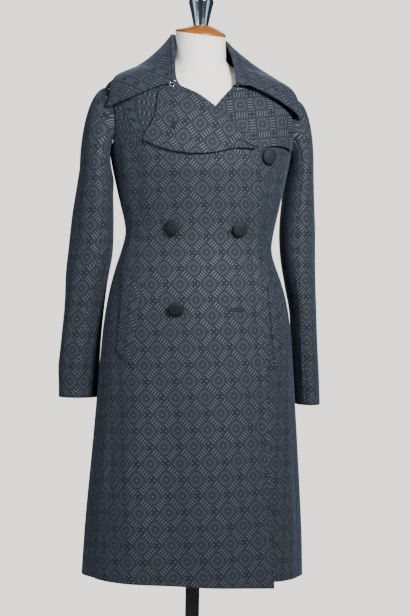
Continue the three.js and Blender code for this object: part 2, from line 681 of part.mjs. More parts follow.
function onLapel(geometry, { x, z, lift }, under) {
  const [angle, place] = onFront(x, z);
  const seat = offBody(angle, place, under(angle, place) + OVERLAP_OUT + WIRE_RADIUS + lift);
  return geometry.applyQuaternion(turnTo(Z_AXIS, bodyNormal(angle, place))).translate(seat.x, seat.y, seat.z);
}

function collarMetal() {
  const ring = new THREE.TorusGeometry(HOOK.radius, WIRE_RADIUS, 8, 16);
  const bar = new THREE.CapsuleGeometry(WIRE_RADIUS, BAR.length, 4, 8).rotateZ(-BAR.slant);
  add("collar_hook", onLapel(ring, HOOK, rightFrontOut), "metal");
  add("collar_bar", onLapel(bar, BAR, () => 0), "metal");
}

// The dress form: sections of the torso and neck, a closed body with a flat foot. The top of the neck slants:
// it is higher at the back and on the coat's right.
const FORM_CLEAR = 2.2; // between the form's shoulders and the coat
const FORM_BOTTOM = 800;
const FORM_COLUMNS = 32;
const TORSO_ROWS = 20;
const TORSO_TOP = NECKLINE - 0.4;
const NECK_SLANT = { back: Math.tan(13 * DEGREE), right: Math.tan(4.5 * DEGREE), from: 1430 };
const NECK_MIDDLE = [NECK_SHIFT, -5]; // x and y of the middle of the neck's top

// How far the form's surface lies inside the coat's: close at the shoulders, looser down to the hips.
const FORM_EASE = { chest: 6, chestZ: [1290, 1362], hips: 8, hipsZ: [1000, 1120] };
const formDepth = (height) =>
  CLOTH + FORM_CLEAR
  + FORM_EASE.chest * (1 - smooth(...FORM_EASE.chestZ, height))
  + FORM_EASE.hips * (1 - smooth(...FORM_EASE.hipsZ, height));

const FORM_NECK = table(
  ["height", "halfWidth", "front", "back", "y"],
  [
    [1424, 55, 55, 53, 0],
    [1438, 52.5, 52, 50, -1],
    [1452, 51, 51, 49, -3],
    [1467, 50, 50.5, 48, -4],
    [NECK_TOP, 50, 50, 48, -5],
  ],
);

// Lifts a point of the neck or the cap by its share of the slant.
function slanted(point, share) {
  const back = NECK_SLANT.back * (point.y - NECK_MIDDLE[1]);
  const right = NECK_SLANT.right * (point.x - NECK_MIDDLE[0]);
  return point.setZ(point.z + share * (back - right));
}

const ringOf = (count, point) => Array.from({ length: count }, (_, i) => point((i / count) * 2 * Math.PI));

function dressForm() {
  const rings = [];
  for (let j = 0; j <= TORSO_ROWS; j++) {
    const place = mix(heightPlace(FORM_BOTTOM), TORSO_TOP, j / TORSO_ROWS);
    const depth = formDepth(readRow(BODY, place).height);
    rings.push(ringOf(FORM_COLUMNS, (angle) => {
      const point = offBody(angle, place, -depth);
      return j === 0 ? point.setZ(FORM_BOTTOM) : point;
    }));
  }
  for (const [height, halfWidth, front, back, y] of FORM_NECK.rows) {
    const share = clamp((height - NECK_SLANT.from) / (NECK_TOP - NECK_SLANT.from), 0, 1);
    rings.push(ringOf(FORM_COLUMNS, (angle) => {
      const deep = Math.cos(angle) > 0 ? front : back;
      const x = halfWidth * Math.sin(angle) + NECK_SHIFT;
      return slanted(new THREE.Vector3(x, y - deep * Math.cos(angle), height), share);
    }));
  }
  return loft(rings);
}

// A closed body through rings of points, with a fan over each end.
function loft(rings) {
  const count = rings[0].length;
  const points = rings.flat();
  const faces = [];
  for (let j = 0; j + 1 < rings.length; j++) {
    for (let i = 0; i < count; i++) {
      const next = (i + 1) % count;
      const [a, b, c, d] = [j * count + i, j * count + next, (j + 1) * count + next, (j + 1) * count + i];
      faces.push(a, b, c, a, c, d);
    }
  }
  for (const [ring, up] of [[0, false], [rings.length - 1, true]]) {
    const centre = points.length;
    points.push(rings[ring].reduce((sum, p) => sum.add(p), new THREE.Vector3()).divideScalar(count));
    for (let i = 0; i < count; i++) {
      const [a, b] = [ring * count + i, ring * count + ((i + 1) % count)];
      faces.push(...(up ? [a, b, centre] : [b, a, centre]));
    }
  }
  return solid(points, faces);
}

// The neck cap: turned rings that follow the neck's slant at the foot and are level at the top.
const CAP_FOOT = NECK_TOP + SEAM;
const CAP_HEIGHT = 13;
const CAP_SEGMENTS = 32;
const CAP = [
  [50, 0],
  [51, 1.2],
  [50.4, 3],
  [47, 5],
  [40, 7.4],
  [32, 10],
  [27, 12],
  [24, CAP_HEIGHT],
];

function neckCap() {
  return loft(CAP.map(([radius, height]) => ringOf(CAP_SEGMENTS, (angle) => {
    const x = NECK_MIDDLE[0] + radius * Math.sin(angle);
    const y = NECK_MIDDLE[1] - radius * Math.cos(angle);
    return slanted(new THREE.Vector3(x, y, CAP_FOOT + height), 1 - smooth(0, CAP_HEIGHT, height));
  })));
}

// The finial, the pole and the base are turned about upright axes.
const FINIAL = [
  [0, 0],
  [14.5, 0],
  [15, 2],
  [17.5, 15],
  [21, 31],
  [25, 47],
  [25, 50],
  [23, 55],
  [17, 59.5],
  [8, 62],
  [0, 63],
];
const FINIAL_SEGMENTS = 24;
const POLE_SEGMENTS = 20;
const BASE_SEGMENTS = 40;
const BASE_RIM = 3;

const upright = (profile, segments) => lathed(profile, segments).rotateX(Math.PI / 2);

function stand() {
  add("neck_cap", neckCap(), "wood");
  const finialFoot = CAP_FOOT + CAP_HEIGHT + SEAM;
  add("finial", upright(FINIAL, FINIAL_SEGMENTS).translate(...NECK_MIDDLE, finialFoot), "metal");
  const poleFoot = BASE_THICKNESS + SEAM;
  const poleTop = FORM_BOTTOM - SEAM;
  const pole = [[0, poleFoot], [POLE_RADIUS, poleFoot], [POLE_RADIUS, poleTop], [0, poleTop]];
  add("pole", upright(pole, POLE_SEGMENTS), "steel");
  const base = [
    [0, 0],
    [BASE_RADIUS, 0],
    [BASE_RADIUS, BASE_THICKNESS - BASE_RIM],
    [BASE_RADIUS - BASE_RIM, BASE_THICKNESS],
    [0, BASE_THICKNESS],
  ];
  add("base", upright(base, BASE_SEGMENTS), "steel");
}

fronts();
add("side_right", sidePanel(-1), "cloth");
add("side_left", sidePanel(1), "cloth");
add("back_right", backPanel(-1), "cloth");
add("back_left", backPanel(1), "cloth");
add("lapel_right", lapel(RIGHT_LAPEL, -1), "cloth");
add("lapel_left", lapel(LEFT_LAPEL, 1), "cloth");
add("collar", collar(), "cloth");
sleeves();
add("strap_right", shoulderStrap(-1), "cloth");
add("strap_left", shoulderStrap(1), "cloth");
add("welt_right", welt("right", -1), "cloth");
add("welt_left", welt("left", 1), "cloth");
BUTTONS.rows.forEach((row, i) => add(`button_${i + 1}`, button(row), "button"));
collarMetal();
add("form_torso", dressForm(), "canvas");
stand();

export default group;
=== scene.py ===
import bpy
import numpy as np
from mathutils import Matrix, Quaternion, Vector


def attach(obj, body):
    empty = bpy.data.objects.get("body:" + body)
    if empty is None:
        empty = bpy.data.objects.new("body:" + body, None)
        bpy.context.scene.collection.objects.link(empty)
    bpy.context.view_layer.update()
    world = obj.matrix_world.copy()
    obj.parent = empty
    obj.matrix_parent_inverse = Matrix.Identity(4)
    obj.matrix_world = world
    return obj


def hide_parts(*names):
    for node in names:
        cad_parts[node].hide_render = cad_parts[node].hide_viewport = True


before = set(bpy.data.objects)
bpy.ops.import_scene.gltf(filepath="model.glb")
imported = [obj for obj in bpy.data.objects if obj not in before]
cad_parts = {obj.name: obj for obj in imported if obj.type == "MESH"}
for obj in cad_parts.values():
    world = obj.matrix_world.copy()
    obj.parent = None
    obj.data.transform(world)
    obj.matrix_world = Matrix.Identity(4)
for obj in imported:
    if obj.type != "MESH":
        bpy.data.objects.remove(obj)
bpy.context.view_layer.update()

# The coat's body
# The coat is cut from flat panels that follow one closed surface round the dress form. It hangs from the
# shoulders, is close at the waist and flares to the hem. Sizes are in millimetres, and angles run from the
# front's middle towards the coat's left.
DEGREE = np.pi / 180
CLOTH = 2.0  # thickness of the coating with its lining
OVERLAP = 3.6  # how far the right front lies over the left one
CHEST = 7.6  # and over the left one's folded lapel

# height, half width, depth of the front and of the back, tilt, lean, roundness of the section
BODY = np.array([
    [404, 222, 148, 152, 2, -7, 2.1],
    [480, 219, 146, 149, 0, -4, 2.1],
    [570, 213, 142, 145, -2, -1, 2.1],
    [660, 206, 138, 141, -3.5, 0, 2.1],
    [750, 199, 134, 138, -3, 0, 2.1],
    [830, 193, 130, 135, -3, 0, 2.15],
    [900, 187, 126, 131, -1, 0, 2.15],
    [955, 178, 121, 124, 3, 0, 2.15],
    [1000, 166, 114, 113, 8, 0, 2.15],
    [1035, 154, 108, 103, 12, 0, 2.15],
    [1065, 147, 105, 97, 14, 0, 2.15],
    [1095, 150, 106, 96, 12, 0, 2.15],
    [1130, 158, 111, 98, 8, 0, 2.2],
    [1170, 167, 118, 102, 5, 0, 2.2],
    [1210, 176, 121, 105, 4, 0, 2.2],
    [1255, 184, 119, 107, 4, 0, 2.25],
    [1298, 189, 111, 105, 4, 1, 2.25],
    [1334, 190, 99, 99, 4, 3, 2.2],
    [1358, 187, 88, 91, 4, 5, 2.1],
    [1374, 176, 79, 83, 4, 7, 2.05],
    [1388, 152, 73, 77, 3, 10, 2],
    [1401, 122, 69, 73, 2.5, 13, 2],
    [1412, 92, 65.5, 69.5, 2, 16, 2],
    [1421, 68, 62, 66, 1.5, 19, 2],
])
NECKLINE = len(BODY) - 1.0

# Broad flares of the skirt: angle, spread in degrees, depth, the heights where each starts and is full.
FLARES = [
    [-46, 15, 7, 900, 430],
    [-16, 12, -6, 860, 430],
    [6, 12, 3, 800, 430],
    [38, 14, 6, 900, 430],
    [68, 10, -4, 850, 430],
    [-72, 9, -4, 850, 430],
    [118, 14, 6, 900, 430],
    [150, 12, -6, 900, 430],
    [-124, 14, 7, 880, 430],
    [-154, 11, -5, 860, 430],
    [180, 12, 6, 900, 430],
]

# Soft troughs (depth below 0) and ridges of the worn cloth, each along a line from one angle and height to
# another, with its half width and depth.
CREASES = [
    [-50, 1275, -53, 1085, 15, -3.2],
    [-64, 1240, -70, 1105, 12, 2.2],
    [48, 1235, 52, 1085, 14, -3.0],
    [63, 1230, 68, 1110, 11, 2.0],
    [-80, 1082, -46, 1052, 7, -1.7],
    [-78, 1046, -50, 1066, 6, -1.2],
    [78, 1086, 50, 1058, 7, -1.7],
    [80, 1046, 56, 1068, 6, 1.1],
    [-22, 880, -17, 410, 22, -3.4],
    [-36, 840, -39, 420, 17, 2.0],
    [-54, 850, -58, 410, 12, -2.4],
    [31, 860, 34, 410, 15, -2.2],
    [11, 740, 9, 410, 14, 1.4],
    [55, 820, 57, 420, 11, 1.6],
    [92, 920, 90, 410, 14, -2.2],
    [-92, 900, -96, 410, 14, -2.4],
    [-8, 1215, -22, 1120, 20, 1.3],
    [132, 1300, 141, 1110, 15, -3.0],
    [-132, 1300, -142, 1115, 15, -3.1],
    [108, 1082, 142, 1058, 7, -1.7],
    [-108, 1060, -144, 1078, 7, -1.6],
    [148, 1036, 176, 1060, 8, -1.2],
    [-150, 1052, -178, 1034, 8, -1.2],
    [166, 1010, 160, 410, 20, -3.2],
    [-160, 990, -156, 410, 18, -3.2],
    [131, 950, 127, 410, 16, 2.3],
    [-136, 910, -133, 410, 16, 2.4],
]


def smooth(low, high, value):
    """A soft step: 0 up to low, 1 from high on."""
    share = np.clip((value - low) / (high - low), 0, 1)
    return share * share * (3 - 2 * share)


def mix(a, b, share):
    return a + (b - a) * share


def unit(vectors):
    return vectors / np.maximum(np.linalg.norm(vectors, axis=-1, keepdims=True), 1e-9)


def read(rows, place):
    """Reads a table between its rows: a cubic curve through the rows, straight on beyond the ends."""
    rows = np.asarray(rows, float)
    place = np.asarray(place, float)
    last = len(rows) - 1
    row = np.clip(np.floor(place).astype(int), 0, last - 1)
    t = (place - row)[..., None]
    before, here, there, beyond = (rows[np.clip(row + step, 0, last)] for step in (-1, 0, 1, 2))
    leave = np.where(row[..., None] == 0, there - here, (there - before) / 2)
    arrive = np.where(row[..., None] + 1 == last, there - here, (beyond - here) / 2)
    curve = ((2 * t**3 - 3 * t**2 + 1) * here + (t**3 - 2 * t**2 + t) * leave
             + (3 * t**2 - 2 * t**3) * there + (t**3 - t**2) * arrive)
    return np.where((t < 0) | (t > 1), mix(here, there, t), curve)


def line(points):
    """A smooth line through points, read at a share of its length."""
    points = np.asarray(points, float)
    return lambda share: read(points, np.asarray(share, float) * (len(points) - 1))


PLACES = np.linspace(-1, NECKLINE + 1, 6001)
HEIGHTS = read(BODY, PLACES)[:, 0]


def place_at(height):
    return np.interp(height, HEIGHTS, PLACES)


def turned_to(angle, centre):
    """The turn from a centre to an angle, between half a turn back and half a turn on."""
    return (angle - centre + np.pi) % (2 * np.pi) - np.pi


def body_point(angle, place):
    """A point of the coat's surface: a superellipse section from the table, with the flares added
    outwards."""
    angle, place = np.broadcast_arrays(np.asarray(angle, float), np.asarray(place, float))
    height, half, front, back, tilt, lean, roundness = np.moveaxis(read(BODY, place), -1, 0)
    s, c = np.sin(angle), np.cos(angle)
    reach = (np.abs(s)**roundness + np.abs(c)**roundness)**(-1 / roundness)
    z = height - tilt * s - lean * c
    flare = sum(
        depth * np.exp(-(turned_to(angle, centre * DEGREE) / (spread * DEGREE))**2) * smooth(top, full, z)
        for centre, spread, depth, top, full in FLARES
    )
    depth = np.where(c > 0, front, back)
    return np.stack([(half * reach + flare) * s, -(depth * reach + flare) * c, z], -1)


def body_normal(angle, place):
    step = 1e-3
    around = body_point(angle + step, place) - body_point(angle - step, place)
    up = body_point(angle, place + step) - body_point(angle, place - step)
    return unit(np.cross(around, up))


def creased(creases, angle, height, radius):
    """The sum of soft creases. Across each line the depth falls off as a bell, with a low lip on one side.
    Along it, it fades out at both ends and swells unevenly."""
    total = np.zeros(np.shape(angle))
    for number, (angle0, height0, angle1, height1, width, depth) in enumerate(creases):
        run, rise = turned_to(angle1 * DEGREE, angle0 * DEGREE) * radius, height1 - height0
        length = np.hypot(run, rise)
        x, y = turned_to(angle, angle0 * DEGREE) * radius, height - height0
        along = (x * run + y * rise) / length**2
        off = (x * rise - y * run) / length / width
        off = off + 0.35 * np.sin(5 * along + number)
        swell = 1 + 0.3 * np.sin(9 * along + 2.1 * number)
        shape = np.exp(-off**2) - 0.4 * np.exp(-((off - 1.8) / 1.3)**2)
        total += depth * shape * swell * smooth(0, 0.35, along) * smooth(1.02, 0.7, along)
    return total


def off_body(angle, place, out):
    """A point that lies out from the coat's creased surface."""
    at = body_point(angle, place)
    out = out + creased(CREASES, np.asarray(angle, float), at[..., 2], 175)
    return at + body_normal(angle, place) * out[..., None]


def on_front(x, z):
    """The angle and place of the front's point at x, z in a front view."""
    x, z = np.asarray(x, float), np.asarray(z, float)
    angle, place = np.zeros(np.shape(x)), place_at(z)
    for _ in range(14):
        at = body_point(angle, place)
        half = read(BODY, place)[..., 1]
        place = place + (z - at[..., 2]) / 40
        angle = np.clip(angle + (x - at[..., 0]) / half, -np.pi / 2, np.pi / 2)
    return np.stack([angle, place], -1)


def to_body(point, angle, place):
    """The angle and place of the body's nearest point, and how far out a point lies, by Newton's steps."""
    step = 1e-3
    for _ in range(10):
        at = body_point(angle, place)
        around = (body_point(angle + step, place) - at) / step
        up = (at - body_point(angle, place - step)) / step
        off = point - at
        aa, uu, au = (around * around).sum(-1), (up * up).sum(-1), (around * up).sum(-1)
        ao, uo = (around * off).sum(-1), (up * off).sum(-1)
        scale = aa * uu - au**2
        angle = angle + (ao * uu - uo * au) / scale
        place = np.clip(place + (uo * aa - ao * au) / scale, 0, NECKLINE)
    out = ((point - body_point(angle, place)) * body_normal(angle, place)).sum(-1)
    return angle, place, out


def normals_of(face):
    """The normals of a grid of points, from the slopes along its rows and columns."""
    return unit(np.cross(np.gradient(face, axis=1), np.gradient(face, axis=0)))


def from_side(grid, side):
    """A grid turned so that its rows start at one side."""
    turned = {
        "left": grid, "right": grid[:, ::-1],
        "bottom": grid.swapaxes(0, 1), "top": grid[::-1].swapaxes(0, 1),
    }
    return turned[side]


def distances(face, side):
    """How far each point of a grid lies from one side, along the grid, in that side's own order."""
    grid = from_side(face, side)
    steps = np.linalg.norm(np.diff(grid, axis=1), axis=-1)
    return np.concatenate([np.zeros((len(grid), 1)), np.cumsum(steps, axis=1)], axis=1)


def press(face, side, depth=1.0, width=2.6, inset=0.0):
    """Presses a soft line into a grid of points at an inset from one side, as a seam or a row of stitches
    does."""
    moved = face.copy()
    away = distances(face, side)
    view, lean = from_side(moved, side), from_side(normals_of(face), side)
    view -= lean * (depth * np.exp(-((away - inset) / width)**2))[..., None]
    return moved


def spread(*parts):
    """Shares of a length from pairs of an end and a count, so that rows can be closer together at the
    edges."""
    ends = [0.0] + [end for end, _ in parts]
    runs = [np.linspace(ends[i], ends[i + 1], count, endpoint=False) for i, (_, count) in enumerate(parts)]
    return np.concatenate(runs + [[ends[-1]]])


def crossed(across, up):
    return np.meshgrid(across, up)


def mesh_of(name, points, quads, flat=None, inside=None):
    """A smooth mesh from points in millimetres and quads, with its flat map and its attribute that marks
    where the lining's dark colour goes: the wrong side, and the buttonhole rolls as painted shade."""
    mesh = bpy.data.meshes.new(name)
    mesh.from_pydata((points * 0.001).tolist(), [], quads.tolist())
    mesh.polygons.foreach_set("use_smooth", np.ones(len(quads), bool))
    if flat is not None:
        corners = np.empty(len(mesh.loops), np.int32)
        mesh.loops.foreach_get("vertex_index", corners)
        mesh.uv_layers.new(name="flat").data.foreach_set("uv", flat[corners].astype(np.float32).ravel())
    if inside is not None:
        mesh.attributes.new("inside", "FLOAT", "POINT").data.foreach_set("value", inside.astype(np.float32))
    mesh.update()
    piece = bpy.data.objects.new(name, mesh)
    bpy.context.scene.collection.objects.link(piece)
    return piece


def laid_flat(face, grain, upright, head):
    """Each point's place on the flat cloth: how far across it lies from the grain line, which is one column
    of the grid, and how far up that line. On an upright panel the woven rows stay level, whatever way the
    grid runs. From the head's share of the rows upwards, the columns keep the width that they have there. A
    grain of None maps a small piece that faces the front as it is seen from there."""
    if grain is None:
        return face[..., 0], face[..., 2]
    column = int(round(grain * (face.shape[1] - 1)))
    up_line = distances(face, "bottom")[column]
    across = distances(face * [1, 1, 0] if upright else face, "left")
    across = across - across[:, column:column + 1]
    across[int(head * (len(across) - 1)):] = across[int(head * (len(across) - 1))]
    if upright:
        return across, np.interp(face[..., 2], np.maximum.accumulate(face[:, column, 2]), up_line)
    return across, np.broadcast_to(up_line[:, None], across.shape)


def cloth(name, face, thickness=CLOTH, grain=0.5, lead=0.0, start=(0.0, 0.0), lined=True, upright=True,
          head=1.0):
    """A closed wall of cloth on a grid of points, which is its right side. The wrong side lies a thickness
    behind it along the normals, and a rounded turn joins the two all round. The flat map, in metres, is
    turned by the lead in degrees."""
    rows, columns = face.shape[:2]
    normals = normals_of(face)
    back = face - normals * thickness
    away = np.zeros_like(face)
    across, up = unit(np.gradient(face, axis=1)), unit(np.gradient(face, axis=0))
    away[:, 0] -= across[:, 0]
    away[:, -1] += across[:, -1]
    away[0] -= up[0]
    away[-1] += up[-1]
    index = np.arange(rows * columns).reshape(rows, columns)
    ring = np.concatenate([index[0, :-1], index[:-1, -1], index[-1, :0:-1], index[:0:-1, 0]])
    turn = (face + back).reshape(-1, 3)[ring] / 2 + unit(away.reshape(-1, 3)[ring]) * thickness * 0.45
    count = rows * columns
    points = np.concatenate([face.reshape(-1, 3), back.reshape(-1, 3), turn])
    quad = np.stack([index[:-1, :-1], index[:-1, 1:], index[1:, 1:], index[1:, :-1]], -1).reshape(-1, 4)
    rim = 2 * count + np.arange(len(ring))
    following, rim_following = np.roll(ring, -1), np.roll(rim, -1)
    quads = np.concatenate([
        quad,
        quad[:, ::-1] + count,
        np.stack([following, ring, rim, rim_following], -1),
        np.stack([rim_following, rim, ring + count, following + count], -1),
    ])
    u, v = (part * 0.001 for part in laid_flat(face, grain, upright, head))
    c, s = np.cos(lead * DEGREE), np.sin(lead * DEGREE)
    flat = np.stack([c * u - s * v + start[0], s * u + c * v + start[1]], -1).reshape(-1, 2)
    flat = np.concatenate([flat, flat, flat[ring]])
    inside = np.concatenate([np.zeros(count), np.ones(count), np.zeros(len(ring))]) * float(lined)
    piece = mesh_of(name, points, quads, flat, inside)
    piece.data.materials.append(coating)
    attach(piece, "root")
    return piece


# The coating
# A wool jacquard in slate and grey blue. Round figures in diamond rows stand between ladders of short
# strokes, with small stars at the crossings. The figures are a little smoother and lighter than the ground.


def calc(tree, operation, *values):
    """One sum in a node tree: links sockets, and writes plain numbers on the node."""
    node = tree.nodes.new("ShaderNodeMath")
    node.operation = operation.replace("!", "")
    node.use_clamp = "!" in operation
    for socket, value in zip(node.inputs, values):
        if isinstance(value, bpy.types.NodeSocket):
            tree.links.new(value, socket)
        else:
            socket.default_value = value
    return node.outputs[0]


def jacquard_group():
    """The woven figure. A and B are the distances to the nearest figure's centre along the two diagonals of
    a diamond lattice. A dot and a ring stand where the cube root of A cubed plus B cubed has their size,
    ladders of strokes where only one of A and B is large, and a star of four dots where both are."""
    tree = bpy.data.node_groups.new("jacquard", "ShaderNodeTree")
    tree.interface.new_socket("Flat", in_out="INPUT", socket_type="NodeSocketVector")
    tree.interface.new_socket("Figure", in_out="OUTPUT", socket_type="NodeSocketFloat")
    tree.interface.new_socket("Gap", in_out="OUTPUT", socket_type="NodeSocketFloat")
    tree.interface.new_socket("Relief", in_out="OUTPUT", socket_type="NodeSocketFloat")
    start, end = tree.nodes.new("NodeGroupInput"), tree.nodes.new("NodeGroupOutput")
    parts = tree.nodes.new("ShaderNodeSeparateXYZ")
    tree.links.new(start.outputs["Flat"], parts.inputs[0])
    across = calc(tree, "DIVIDE", parts.outputs["X"], 0.057)
    up = calc(tree, "DIVIDE", parts.outputs["Y"], 0.062)
    a, b = calc(tree, "ADD", across, up), calc(tree, "SUBTRACT", across, up)
    near_a, near_b = calc(tree, "PINGPONG", a, 0.5), calc(tree, "PINGPONG", b, 0.5)

    def band(value, centre, half, soft):
        off = calc(tree, "ABSOLUTE", calc(tree, "SUBTRACT", value, centre))
        return calc(tree, "DIVIDE!", calc(tree, "SUBTRACT", half, off), soft)

    def either(*masks):
        total = masks[0]
        for mask in masks[1:]:
            total = calc(tree, "MAXIMUM", total, mask)
        return total

    cubes = calc(tree, "ADD", calc(tree, "POWER", near_a, 3.0), calc(tree, "POWER", near_b, 3.0))
    size = calc(tree, "POWER", cubes, 1 / 3)
    dot = calc(tree, "MULTIPLY", band(size, 0.0, 0.05, 0.03), 0.8)
    ring = calc(tree, "MULTIPLY", band(size, 0.235, 0.05, 0.04), 0.3)
    groove = calc(tree, "MULTIPLY", either(band(size, 0.1, 0.035, 0.03), band(size, 0.325, 0.03, 0.02)), 0.55)

    def ladder(far, near, count_along):
        strokes = calc(tree, "SINE", calc(tree, "MULTIPLY", count_along, 2 * np.pi * 8))
        place = calc(tree, "MULTIPLY", band(far, 0.5, 0.14, 0.02), band(near, 0.0, 0.3, 0.02))
        light = calc(tree, "MULTIPLY", place, calc(tree, "MULTIPLY_ADD!", strokes, 2.5, -0.2))
        dark = calc(tree, "MULTIPLY", place, calc(tree, "MULTIPLY_ADD!", strokes, -2.5, 0.2))
        return light, dark

    light_a, dark_a = ladder(near_a, near_b, b)
    light_b, dark_b = ladder(near_b, near_a, a)
    far_a, far_b = calc(tree, "SUBTRACT", 0.5, near_a), calc(tree, "SUBTRACT", 0.5, near_b)
    aside_a, aside_b = calc(tree, "SUBTRACT", far_a, 0.095), calc(tree, "SUBTRACT", far_b, 0.095)
    squares = calc(tree, "ADD", calc(tree, "MULTIPLY", aside_a, aside_a),
                   calc(tree, "MULTIPLY", aside_b, aside_b))
    dots = band(calc(tree, "SQRT", squares), 0.0, 0.05, 0.03)
    star = band(calc(tree, "MAXIMUM", far_a, far_b), 0.0, 0.19, 0.02)
    figure = either(dot, ring, light_a, light_b, dots)
    gap = either(groove, dark_a, dark_b, calc(tree, "MULTIPLY", star, 0.7))
    weft = calc(tree, "SINE", calc(tree, "MULTIPLY", parts.outputs["Y"], 2 * np.pi / 0.0008))
    slant = calc(tree, "SINE", calc(tree, "MULTIPLY",
                                    calc(tree, "ADD", parts.outputs["X"], parts.outputs["Y"]),
                                    2 * np.pi / 0.0011))
    ribs = calc(tree, "ADD", calc(tree, "MULTIPLY", weft, 0.12), calc(tree, "MULTIPLY", slant, 0.14))
    tree.links.new(figure, end.inputs["Figure"])
    tree.links.new(gap, end.inputs["Gap"])
    tree.links.new(calc(tree, "ADD", figure, ribs), end.inputs["Relief"])
    return tree


def node(tree, kind, **settings):
    """A node with its settings and the values of its inputs."""
    made = tree.nodes.new(kind)
    for name, value in settings.pop("inputs", {}).items():
        made.inputs[name].default_value = value
    for name, value in settings.items():
        setattr(made, name, value)
    return made


def material(name, roughness, metallic=0.0, **sockets):
    """A plain material, its tree and its shader, with values on the shader's own sockets."""
    made = bpy.data.materials.new(name)
    made.use_nodes = True
    shader = made.node_tree.nodes["Principled BSDF"]
    shader.inputs["Roughness"].default_value = roughness
    shader.inputs["Metallic"].default_value = metallic
    for socket, value in sockets.items():
        shader.inputs[socket.replace("_", " ")].default_value = value
    return made, made.node_tree, shader


def mixed(tree, factor, first, second):
    """A colour mixed from two, each a socket or a colour."""
    blend = node(tree, "ShaderNodeMix", data_type="RGBA")
    for socket, value in ((blend.inputs[0], factor), (blend.inputs[6], first), (blend.inputs[7], second)):
        if isinstance(value, bpy.types.NodeSocket):
            tree.links.new(value, socket)
        else:
            socket.default_value = value if isinstance(value, float) else (*value, 1.0)
    return blend.outputs[2]


GROUND = (0.016, 0.020, 0.028)
FIGURE = (0.053, 0.066, 0.086)
GAP = (0.004, 0.006, 0.010)
LINING = (0.008, 0.009, 0.013)

coating, tree, shader = material("coating", 0.8, Sheen_Weight=0.12, Sheen_Roughness=0.5)
shader.inputs["Sheen Tint"].default_value = (0.5, 0.68, 1.0, 1)
shader.inputs["Specular IOR Level"].default_value = 0.25
flat_map = node(tree, "ShaderNodeUVMap", uv_map="flat")
weave = node(tree, "ShaderNodeGroup", node_tree=jacquard_group())
tree.links.new(flat_map.outputs[0], weave.inputs["Flat"])
patches = node(tree, "ShaderNodeTexNoise", inputs={"Scale": 14.0, "Detail": 3.0})
places = node(tree, "ShaderNodeTexCoord")
tree.links.new(places.outputs["Object"], patches.inputs["Vector"])
shown = calc(tree, "MULTIPLY", weave.outputs["Figure"],
             calc(tree, "MULTIPLY_ADD", patches.outputs[0], 0.9, 0.5))
woven = mixed(tree, shown, mixed(tree, weave.outputs["Gap"], GROUND, GAP), FIGURE)
# The lining's dark colour on the wrong side of lined panels, and as painted shade all over the buttonhole
# rolls.
lining_and_shade = node(tree, "ShaderNodeAttribute", attribute_name="inside")
tree.links.new(mixed(tree, lining_and_shade.outputs["Fac"], woven, LINING), shader.inputs["Base Color"])
tree.links.new(calc(tree, "MULTIPLY_ADD", weave.outputs["Figure"], -0.22, 0.78), shader.inputs["Roughness"])
relief = node(tree, "ShaderNodeBump", inputs={"Strength": 0.5, "Distance": 0.0002})
tree.links.new(weave.outputs["Relief"], relief.inputs["Height"])
tree.links.new(relief.outputs[0], shader.inputs["Normal"])

# The panels
# Six panels run from the hem to the shoulders: two fronts, two sides and two backs. Pressed seams join
# them, and the right front laps over the left one as far as its own row of buttons.
ARMHOLE = {"low": 1234, "high": 1361, "front": 24 * DEGREE, "back": 30 * DEGREE}
FRONT_TURN, BACK_TURN = 48 * DEGREE, 306 * DEGREE  # where the side seams meet the armhole
SEAM = 0.3
HIP = place_at(900)
EDGES = {
    "right": [[136, 396], [129, 567], [119, 758], [109, 930], [103, 1067], [99, 1150], [97, 1222]],
    "left": [[-136, 410], [-129, 567], [-119, 758], [-109, 930], [-103, 1067], [-99, 1150], [-98, 1210]],
}
ROLLS = {
    "right": [[92, 1244], [50, 1286], [10, 1321], [-25, 1346], [-48, 1359], [-57, 1372]],
    "left": [[-88, 1228], [-40, 1272], [9, 1320], [30, 1344], [43, 1358], [52, 1371]],
}
BREAK = 15 / 26  # share of a front's rows below the lapel's break
ROLL = 0.72  # share of the rows above it that end on the lapel's fold
SIDES = {"right": -1, "left": 1}


def armhole(side, turn):
    """A closed line round the shoulder: turn 0 is under the arm, a quarter its front edge, half the
    shoulder."""
    reach = np.where(np.sin(turn) > 0, ARMHOLE["front"], ARMHOLE["back"])
    height = mix(ARMHOLE["low"], ARMHOLE["high"], (1 - np.cos(turn)) / 2)
    return side * (np.pi / 2 - reach * np.sin(turn)), place_at(height)


def seam_angle(hem, hip, turn, place):
    """A side seam's angle: it eases from the hem to the hip, and from there to the armhole."""
    top, top_place = armhole(1, turn)
    low = mix(hem * DEGREE, hip * DEGREE, smooth(0, HIP, place))
    return np.where(place < HIP, low, mix(hip * DEGREE, top, smooth(HIP, top_place, place)))


def front_seam(place):
    return seam_angle(66, 69, FRONT_TURN, place)


def back_seam(place):
    return seam_angle(112, 111, BACK_TURN, place)


def seam_half(place):
    return SEAM / 2 / read(BODY, place)[..., 1]


def right_out(angle, place):
    """How far the right front lies off the body: over the left front, and more over its folded lapel."""
    at = body_point(angle, place)
    x, z = at[..., 0], at[..., 2]
    lapped = smooth(-168, -140, x)
    chest = smooth(1170, 1212, z) * smooth(-150, -105, x)
    shoulder = 1 - smooth(1335, 1375, z)
    return mix(lapped * OVERLAP * shoulder, CHEST, chest * shoulder)


